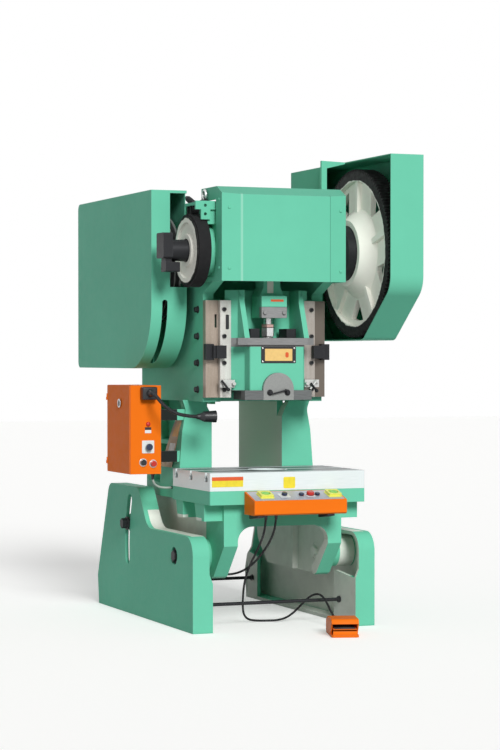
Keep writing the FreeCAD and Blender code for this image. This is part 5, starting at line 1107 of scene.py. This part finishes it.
def punched(name, plate, holes, towards):
    """A plate with round holes: holes is a list of (centre, radius in metres)."""
    piece = show(name, mesh_from(name, plate))
    punches = mesh_from("punch", *[
        turned_to(lathe([(radius, -0.01), (radius, 0.02)], sides=32), centre, towards)
        for centre, radius in holes])
    punch = show("punch", punches)
    cut = piece.modifiers.new("holes", "BOOLEAN")
    cut.object, cut.operation, cut.solver = punch, "DIFFERENCE", "EXACT"
    ready = piece.evaluated_get(bpy.context.evaluated_depsgraph_get())
    mesh = bpy.data.meshes.new_from_object(ready)
    mesh.set_sharp_from_angle(angle=SHARP)
    piece.modifiers.clear()
    piece.data = mesh
    bpy.data.objects.remove(punch)
    return piece


STATION_FRONT, STATION_BACK, STATION_LIP, STATION_RISE = -360, -240.3, 583, 36
slope = math.atan2(STATION_RISE, STATION_BACK - STATION_FRONT)
PANEL_UP = Vector((0, -math.sin(slope), math.cos(slope)))
PANEL_ALONG = (0, math.cos(slope), math.sin(slope))


def on_panel(x, lift=0.0):
    """A place on the middle of the sloping panel, lifted off it."""
    middle = ram_at(x, (STATION_FRONT + STATION_BACK) / 2, STATION_LIP + STATION_RISE / 2)
    return middle + PANEL_UP * lift * MM


BUTTON_ROOM = 0.6
BUTTONS = {-135: 19.2, -45: 9, 36: 12.2, 78: 17.2, 112: 12.2, 188: 19.2}
panel = turned_to(chamfered(0.424, 0.110, 0.0012, 0.004, 0.0004), on_panel(10), PANEL_UP,
                  PANEL_ALONG)
fit(punched("station_panel", panel, [(on_panel(x), (radius + BUTTON_ROOM) * MM)
                                     for x, radius in BUTTONS.items()], PANEL_UP),
    "frame", panel_grey)


def collar(name, x, inner, half, thick, material, lift=1.2):
    """A square base plate with a round hole, round a button's stem."""
    plate = turned_to(chamfered(half * 2 * MM, half * 2 * MM, thick * MM, 0.005, 0.0008),
                      on_panel(x, lift), PANEL_UP, PANEL_ALONG)
    return fit(punched(name, plate, [(on_panel(x), inner * MM)], PANEL_UP), "frame",
               material)


for name, x in (("left", -135), ("right", 188)):
    collar("palm_base_" + name, x, 19.8, 33, 3.2, yellow_plastic)
    collar("palm_guard_" + name, x, 21.5, 30, 11, yellow_plastic, lift=4.4)
collar("selector_plate", -45, 9.6, 24, 1.2, white_field)
collar("stop_plate", 78, 17.8, 20.5, 1.2, white_field)

# %% [markdown]
# On the cabinet the main switch stands on a white plate, and a small red lamp over
# two plain marks.  The two push buttons and the door's lock have bright rings.

# %% Fittings on the cabinet
CABINET_FRONT, CABINET_LEFT = 200, -593


def ring_plate(name, centre, towards, inner, outer, thick, body):
    """A flat bright ring with a broken edge."""
    sides = 36
    ring = lathe([(inner * MM, 0), (outer * MM, 0), (outer * MM, (thick - 0.6) * MM),
                  ((outer - 0.6) * MM, thick * MM), (inner * MM, thick * MM)], sides,
                 caps=False)
    corners = list(ring.verts)
    band(ring, corners[-sides:], corners[:sides])
    return make(name, body, "bare_steel", turned_steel, turned_to(ring, centre, towards))


ring_plate("door_lock_ring", ram_at(CABINET_LEFT, 338, 998), LEFT, 14.4, 20, 2.2, "door")
SWITCH = ram_at(-502, CABINET_FRONT, 803)
fit(punched("switch_plate", turned_to(chamfered(0.058, 0.058, 0.002, 0.004, 0.0008), SWITCH,
                                      FRONT), [(SWITCH, 0.0104)], FRONT),
    "frame", white_field)
for name, x, z in (("start_ring", -526, 733), ("halt_ring", -478, 727)):
    ring_plate(name, ram_at(x, CABINET_FRONT, z), FRONT, 13.8, 18.5, 2.4, "frame")


def dome(radius, rise):
    """A low dome on a short stem."""
    steps = [(radius, 0), (radius, rise * 0.45)]
    steps += [(radius * math.cos(math.radians(a)),
               rise * (0.45 + 0.55 * math.sin(math.radians(a)))) for a in (20, 40, 60, 78)]
    return lathe(steps)


make("cabinet_lamp", "frame", "red_plastic", red_plastic,
     turned_to(dome(0.010, 0.010), ram_at(-502, CABINET_FRONT, 906), FRONT))
front_plates(
    "frame",
    ("cabinet_mark", (-502, CABINET_FRONT, 872), (30, 14, 0.8), (1, 0.2), white_field,
     "bare_steel"),
    ("cabinet_mark_dark", (-502, CABINET_FRONT, 886), (30, 12, 0.8), (1, 0.2), black_plastic,
     "black_plastic"))

# %% [markdown]
# The gooseneck is a steel hose: a strip wound into rings that slide in each
# other.  Geometry Nodes resample the neck's line and set a ring on every few
# millimetres, square to the line, round a core tube, and the result is kept as a
# plain mesh.  A tapered nose takes it into the block on the cabinet.

# %% Gooseneck lamp
NECK = [(-505, 137, 1046), (-504, 96, 1040), (-486, 60, 1002), (-440, 42, 962),
        (-385, 36, 946), (-330, 32, 942)]


def hose_recipe():
    """Wind a hose along a chain of edges: a core tube, and rings a pitch apart."""
    r = Recipe("wound_hose", Radius=("Float", 0.008), Pitch=("Float", 0.004),
               Wire=("Float", 0.0016))
    line = r.add("GeometryNodeMeshToCurve", {"Mesh": r.given["Geometry"]}).outputs[0]
    even = r.add("GeometryNodeResampleCurve", {"Curve": line, "Length": r.given["Pitch"]},
                 mode="LENGTH")
    core_radius = r.add("ShaderNodeMath", {0: r.given["Radius"], 1: r.given["Wire"]},
                        operation="SUBTRACT").outputs[0]
    core = r.tube(line, r.circle(16, core_radius), caps=True)
    ring = r.tube(r.circle(16, core_radius), r.circle(6, r.given["Wire"]))
    along = r.add("GeometryNodeInputTangent").outputs[0]
    rings = r.copies(even.outputs[0], ring, Rotation=r.square_to(along))
    both = r.add("GeometryNodeJoinGeometry")
    for part in (core, rings):
        r.group.links.new(part, both.inputs[0])
    return r.finish(both.outputs[0])


hose = grow("lamp_neck", chain_of(smooth_line("neck_line", NECK, steps=24)), hose_recipe(),
            Radius=0.0085, Pitch=0.0042, Wire=0.0014, Finish=black_steel)
hose.data.shade_smooth()
block = bmesh.new()
bmesh.ops.create_cube(block, size=1.0)
bmesh.ops.scale(block, vec=(0.070, 0.040, 0.058), verts=block.verts[:])
bmesh.ops.translate(block, vec=ram_at(-505, 179.7, 1045), verts=block.verts[:])
bmesh.ops.bevel(block, geom=block.edges[:], offset=0.006, segments=4, affect="EDGES",
                profile=0.5)
nose = turned_to(lathe([(0.019, 0), (0.018, 0.006), (0.0125, 0.022), (0.0105, 0.030)]),
                 ram_at(-505, 160.5, 1046), FRONT)
lamp_block = show("lamp_block", mesh_from("lamp_block", block, nose))
lamp_block.data.materials.append(black_plastic)
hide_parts("lamp_arm")
fit(hose, "frame")
fit(lamp_block, "frame")

# %% [markdown]
# Round the ram sit many small bought pieces.  Two nuts pull the shank clamp up, a
# coppered lock nut holds the adjusting screw, and the connecting rod has a red band.
# A pale ivory strip down the rod's front is a painted highlight where a glint runs,
# and a black strip on the left guide is a slot painted as shade.  Each knock-out
# bracket has a black lever.

# %% Small pieces round the ram
CLAMP_FRONT, ROD_FRONT, LOCK_BAND = -127, -48, -76
nuts = [(ram_at(x, CLAMP_FRONT, 1050), FRONT) for x in (-42, 42)]
set_screws("clamp_nuts", screw_head(0.0095, 0.014), nuts, "slide", black_steel,
           seed=11)
front_plates(
    "rod",
    # A pale ivory strip down the rod's front: a painted highlight where a glint runs.
    ("rod_stripe", (-8, ROD_FRONT, 1530), (30, 70, 0.8), (2, 0.3), painted_glint_enamel, "ivory_iron"),
    ("lock_band", (14, LOCK_BAND, 1461), (62, 10, 0.6), (2, 0.2), red_field, "red_plastic"))
lock_nut = turned_to(lathe([(0.016, 0), (0.0285, 0), (0.030, 0.002), (0.030, 0.013),
                            (0.0285, 0.015), (0.016, 0.015)], sides=6, caps=False),
                     ram_at(0, 0, 1341), TOP)
make("screw_lock_nut", "screw", "bronze", copper_nut, lock_nut)
# A black strip on the left guide stands for a slot: painted shade.
front_plates("frame", ("guide_slot", (-196, 0, 1365), (16, 66, 0.6), (4, 0.3), black_plastic,
                       "black_plastic"))


def lever(name, start, end, radius, body):
    """A round bar with a ball on its end, from one place to another."""
    length = (ram_at(*end) - ram_at(*start)).length
    ball = radius * 1.7
    profile = [(radius, 0), (radius, length - ball)]
    profile += [(ball * math.cos(math.radians(a)), length + ball * math.sin(math.radians(a)))
                for a in range(-50, 90, 20)]
    bar = turned_to(lathe(profile, 16), ram_at(*start), ram_at(*end) - ram_at(*start))
    return make(name, body, "dark_steel", black_steel, bar)


lever("clamp_handle", (-34, -138, 1044), (30, -138, 1060), 0.0036, "slide")
lever("knockout_lever_left", (-236, -34, 1104), (-214, -60, 1064), 0.0048, "frame")
lever("knockout_lever_right", (196, -34, 1090), (214, -60, 1056), 0.0048, "frame")

# %% [markdown]
# The brake band is drawn together over the drum by a rod with a spring on it.  The
# spring is wound by Geometry Nodes from its radius, its height and the number of
# its turns.  The lifting eyes stand on turned bosses.

# %% Brake spring and eye bosses


def spring_recipe():
    """Wind a spring of round wire on every point, along the point's own facing."""
    r = Recipe("wound_spring", Radius=("Float", 0.011), Height=("Float", 0.05),
               Turns=("Float", 7.0), Wire=("Float", 0.0018))
    line = r.add("GeometryNodeCurveSpiral", {
        "Resolution": 20, "Rotations": r.given["Turns"], "Start Radius": r.given["Radius"],
        "End Radius": r.given["Radius"], "Height": r.given["Height"]}).outputs[0]
    coil = r.tube(line, r.circle(8, r.given["Wire"]), caps=True)
    return r.finish(r.copies(r.points(), coil, Rotation=r.facing()))


ROD_LOW, ROD_HIGH = ram_at(-363, -30, 1884), ram_at(-363, 70, 1920)
along = (ROD_HIGH - ROD_LOW).normalized()
seat = dots_with_facing("brake_spring", [(ROD_LOW + along * 0.018, along)])
spring = grow("brake_spring", seat, spring_recipe(), Radius=0.012, Height=0.062, Turns=7.5,
              Wire=0.0021, Finish=black_steel)
spring.data.shade_smooth()
fit(spring, "frame")
brake_rod = turned_to(lathe([(0.0065, 0), (0.0065, 0.118)], 16), ROD_LOW - along * 0.006, along)
end_nuts = [turned_to(lathe([(0.0135, 0), (0.0135, 0.010), (0.011, 0.012)], 6),
                      ROD_LOW + along * reach, along) for reach in (0.004, 0.084)]
make("brake_rod", "frame", "dark_steel", black_steel, brake_rod, *end_nuts)
for side, x in (("left", -308), ("right", 308)):
    boss = lathe([(0.024, 0), (0.024, 0.007), (0.021, 0.010), (0.0165, 0.012)], 28)
    make("eye_boss_" + side, "frame", "dark_steel", black_steel,
         turned_to(boss, ram_at(x, -8, 1895), TOP))

# %% [markdown]
# A tan strip with plain fields is stuck on the left column's cheek.  The cheek
# leans in towards the top, so the strip's points are laid on it: `cheek_x` is the
# side wall's distance at a height, and `cheek_rear` its slanted rear edge.  The
# pairs are a height and a distance, in millimetres.

# %% Strip on the column
CHEEK = [(698, 337), (870, 318), (965, 300)]
REAR_LOW, REAR_HIGH = (681, 513), (1000, 324)
THROAT_FACE, LEAN_BELOW, LEAN = 264, 950, 0.30
FRONT_GAP, REAR_GAP = 6, 4
FIELD_THICK = 0.5


def cheek_x(z):
    for (low, wide), (high, narrow) in zip(CHEEK, CHEEK[1:]):
        if z <= high:
            return -(wide + (narrow - wide) * (z - low) / (high - low))
    return -CHEEK[-1][1]


def cheek_rear(z):
    (low, deep), (high, shallow) = REAR_LOW, REAR_HIGH
    return deep - (z - low) * (deep - shallow) / (high - low)


def cheek_field(name, low, high, from_rear, share, lift, material, slot):
    """A thin field on the cheek between two heights, share of the strip's width."""
    levels = [low] + [z for z, _ in CHEEK if low < z < high] + [high]
    shape = bmesh.new()
    grid = []
    for out in (lift, lift + FIELD_THICK):
        rows = []
        for z in levels:
            rear = cheek_rear(z) - REAR_GAP
            front = THROAT_FACE + FRONT_GAP + max(0, LEAN_BELOW - z) * LEAN
            wide = rear - front
            ends = (rear - wide * from_rear, rear - wide * (from_rear + share))
            rows.append([shape.verts.new(ram_at(cheek_x(z) - out, y, z)) for y in ends])
        grid.append(rows)
    under, over = grid
    for rows, turn in ((under, 1), (over, -1)):
        for a, b in zip(rows, rows[1:]):
            shape.faces.new([a[0], a[1], b[1], b[0]][::turn])
    band(shape, *[[r[0] for r in rows] + [r[1] for r in reversed(rows)] for rows in grid])
    return make(name, "frame", slot, material, shape)


cheek_field("column_strip", 700, 960, 0.0, 1.0, 0.1, tan_field, "ivory_iron")
cheek_field("column_field_red", 930, 952, 0.15, 0.7, 0.6, red_field, "red_plastic")
cheek_field("column_field_yellow", 842, 918, 0.28, 0.62, 0.6, amber_field, "yellow_plastic")
cheek_field("column_field_white", 748, 812, 0.30, 0.58, 0.6, white_field, "bare_steel")

# %% [markdown]
# The foot switch gets a visor and a sill, which leave one slot for the shoe, and
# its treadle a row of ribs from Geometry Nodes.  Two dark angles carry the two-hand
# box.  `bar` makes such pieces: an outline that is drawn across and pulled out.

# %% Foot switch and angles


def bar(outline, left, right, offset=0.0015):
    """Pull an outline of (y, z) millimetres out along X, and break its edges."""
    shape = bmesh.new()
    ends = [[shape.verts.new((x * MM, y * MM, z * MM)) for y, z in outline]
            for x in (left, right)]
    shape.faces.new(ends[0])
    shape.faces.new(reversed(ends[1]))
    band(shape, ends[1], ends[0])
    bmesh.ops.bevel(shape, geom=shape.edges[:], offset=offset, segments=2, affect="EDGES",
                    profile=0.5)
    return shape


TO_PEDAL = Matrix.Translation(ram_at(*PEDAL_PLACE, 0)) @ Matrix.Rotation(PEDAL_TURN, 4, "Z")


def at_pedal(shape):
    """Turn a form that is drawn about the foot switch's middle into its place."""
    bmesh.ops.transform(shape, verts=shape.verts[:], matrix=TO_PEDAL)
    return shape


PEDAL_HALF, ANGLE_WIDE = 60, 34
FIRST_RIB, RIB_STEP, RIBS = (0, -0.084, 0.0360), (0, 0.012, 0.00122), 6
visor = bar([(-88, 77.5), (-93, 74), (-101, 58), (-98, 56), (-89, 71), (-84, 77)],
            0.5 - PEDAL_HALF, PEDAL_HALF - 0.5, 0.0008)
sill = bar([(-104, 10.2), (-98, 10.2), (-99.5, 27), (-102.5, 27)], 6.5 - PEDAL_HALF,
           PEDAL_HALF - 6.5, 0.0008)
for name, shape in (("pedal_visor", visor), ("pedal_sill", sill)):
    make(name, "base", "orange_paint", orange_coat, at_pedal(shape))


def rib_recipe():
    """Repeat one rib along a line: count of them, a step apart."""
    r = Recipe("treadle_ribs", Rib=("Object", None), Count=("Int", 6),
               Step=("Vector", (0.0, 0.012, 0.0012)))
    row = r.add("GeometryNodeMeshLine", {"Count": r.given["Count"],
                                         "Offset": r.given["Step"]}, mode="OFFSET")
    rib = r.add("GeometryNodeObjectInfo", {"Object": r.given["Rib"]}).outputs["Geometry"]
    return r.finish(r.copies(row.outputs[0], rib))


rib = show("rib", mesh_from("rib", bar([(-2, -0.5), (2, -0.5), (1.2, 3), (-1.2, 3)],
                                       -46, 46, 0.0004)))
ribs = grow("treadle_ribs", bpy.data.meshes.new("no_points"), rib_recipe(), Rib=rib,
            Count=RIBS, Step=RIB_STEP, Finish=black_steel)
bpy.data.objects.remove(rib)
ribs.data.transform(Matrix.Translation(FIRST_RIB))
ribs.data.transform(TO_PEDAL)
fit(ribs, "treadle")
for name, x in (("station_angle_left", -190), ("station_angle_right", 140)):
    angle = bar([(-352, 519.8), (-352, 512), (-262, 500), (-246, 500), (-246, 519.8)],
                x, x + ANGLE_WIDE)
    bmesh.ops.translate(angle, vec=(0, RAM_LINE_Y * MM, 0), verts=angle.verts[:])
    make(name, "frame", "dark_steel", black_steel, angle)

# %% [markdown]
# Where a cable leaves a housing it goes through a tapered rubber sleeve, so that
# it does not break at the edge.  Each sleeve sits on its wall and points the way
# that the cable runs.

# %% Sleeves on the cables
SLEEVE = [(0.0095, 0), (0.0095, 0.004), (0.0080, 0.006), (0.0066, 0.016), (0.0056, 0.025)]
back_of_pedal = Vector((-math.sin(PEDAL_TURN), math.cos(PEDAL_TURN), 0))
SLEEVES = {
    "pedal_cable_sleeve": (ROUTES["pedal_cable"][0], (0, 0, -1), "frame"),
    "pedal_cable_end_sleeve": (ROUTES["pedal_cable"][-1], back_of_pedal, "base"),
    "station_cable_sleeve": (ROUTES["station_cable"][0], (0, 0, -1), "frame"),
    "station_cable_end_sleeve": (ROUTES["station_cable"][-1], RIGHT, "frame"),
    "cabinet_cable_sleeve": (ROUTES["cabinet_cable"][0], (0, 0, -1), "frame"),
    "cabinet_cable_end_sleeve": (ROUTES["cabinet_cable"][-1], LEFT, "frame"),
}
for name, (place, towards, body) in SLEEVES.items():
    sleeve = turned_to(lathe(SLEEVE, 20), ram_at(*place), towards)
    make(name, body, "black_plastic", black_plastic, sleeve)

# %% [markdown]
# The gear turns inside its guard, where a studio's light hardly reaches, and its
# pale arms are the first thing that the eye finds on this press.  A second, small
# light from the left is flagged off everything but the gear and the brake drum.

# %% A light for the gear
GEAR_LIGHT = 0.65
GEAR_LIGHT_FROM = Vector((-0.80, -0.56, 0.20))
flagged = bpy.data.collections.new("gear_and_drum")
for name in ("drive_gear", "brake_drum"):
    flagged.objects.link(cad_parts[name])
reach = far_lamp("gear_light", GEAR_LIGHT, GEAR_LIGHT_FROM)
reach.light_linking.receiver_collection = flagged
reach.light_linking.blocker_collection = flagged

# %% [markdown]
# The cables take their place in the frame.  The foot switch's cable ends at a box on
# the floor and rides on the base, so it stays when the frame tilts, and its upper
# end is then left behind.  The other two join places on the frame and ride on that.

# %% Fix the cables
for name, piece in cables.items():
    piece.data.materials.append(pale_cable if name == "cabinet_cable" else cable_rubber)
    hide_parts(name)
    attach(piece, "base" if name == "pedal_cable" else "frame")
    print(name, "is", round(CABLE_LENGTH[name], 3), "m long")
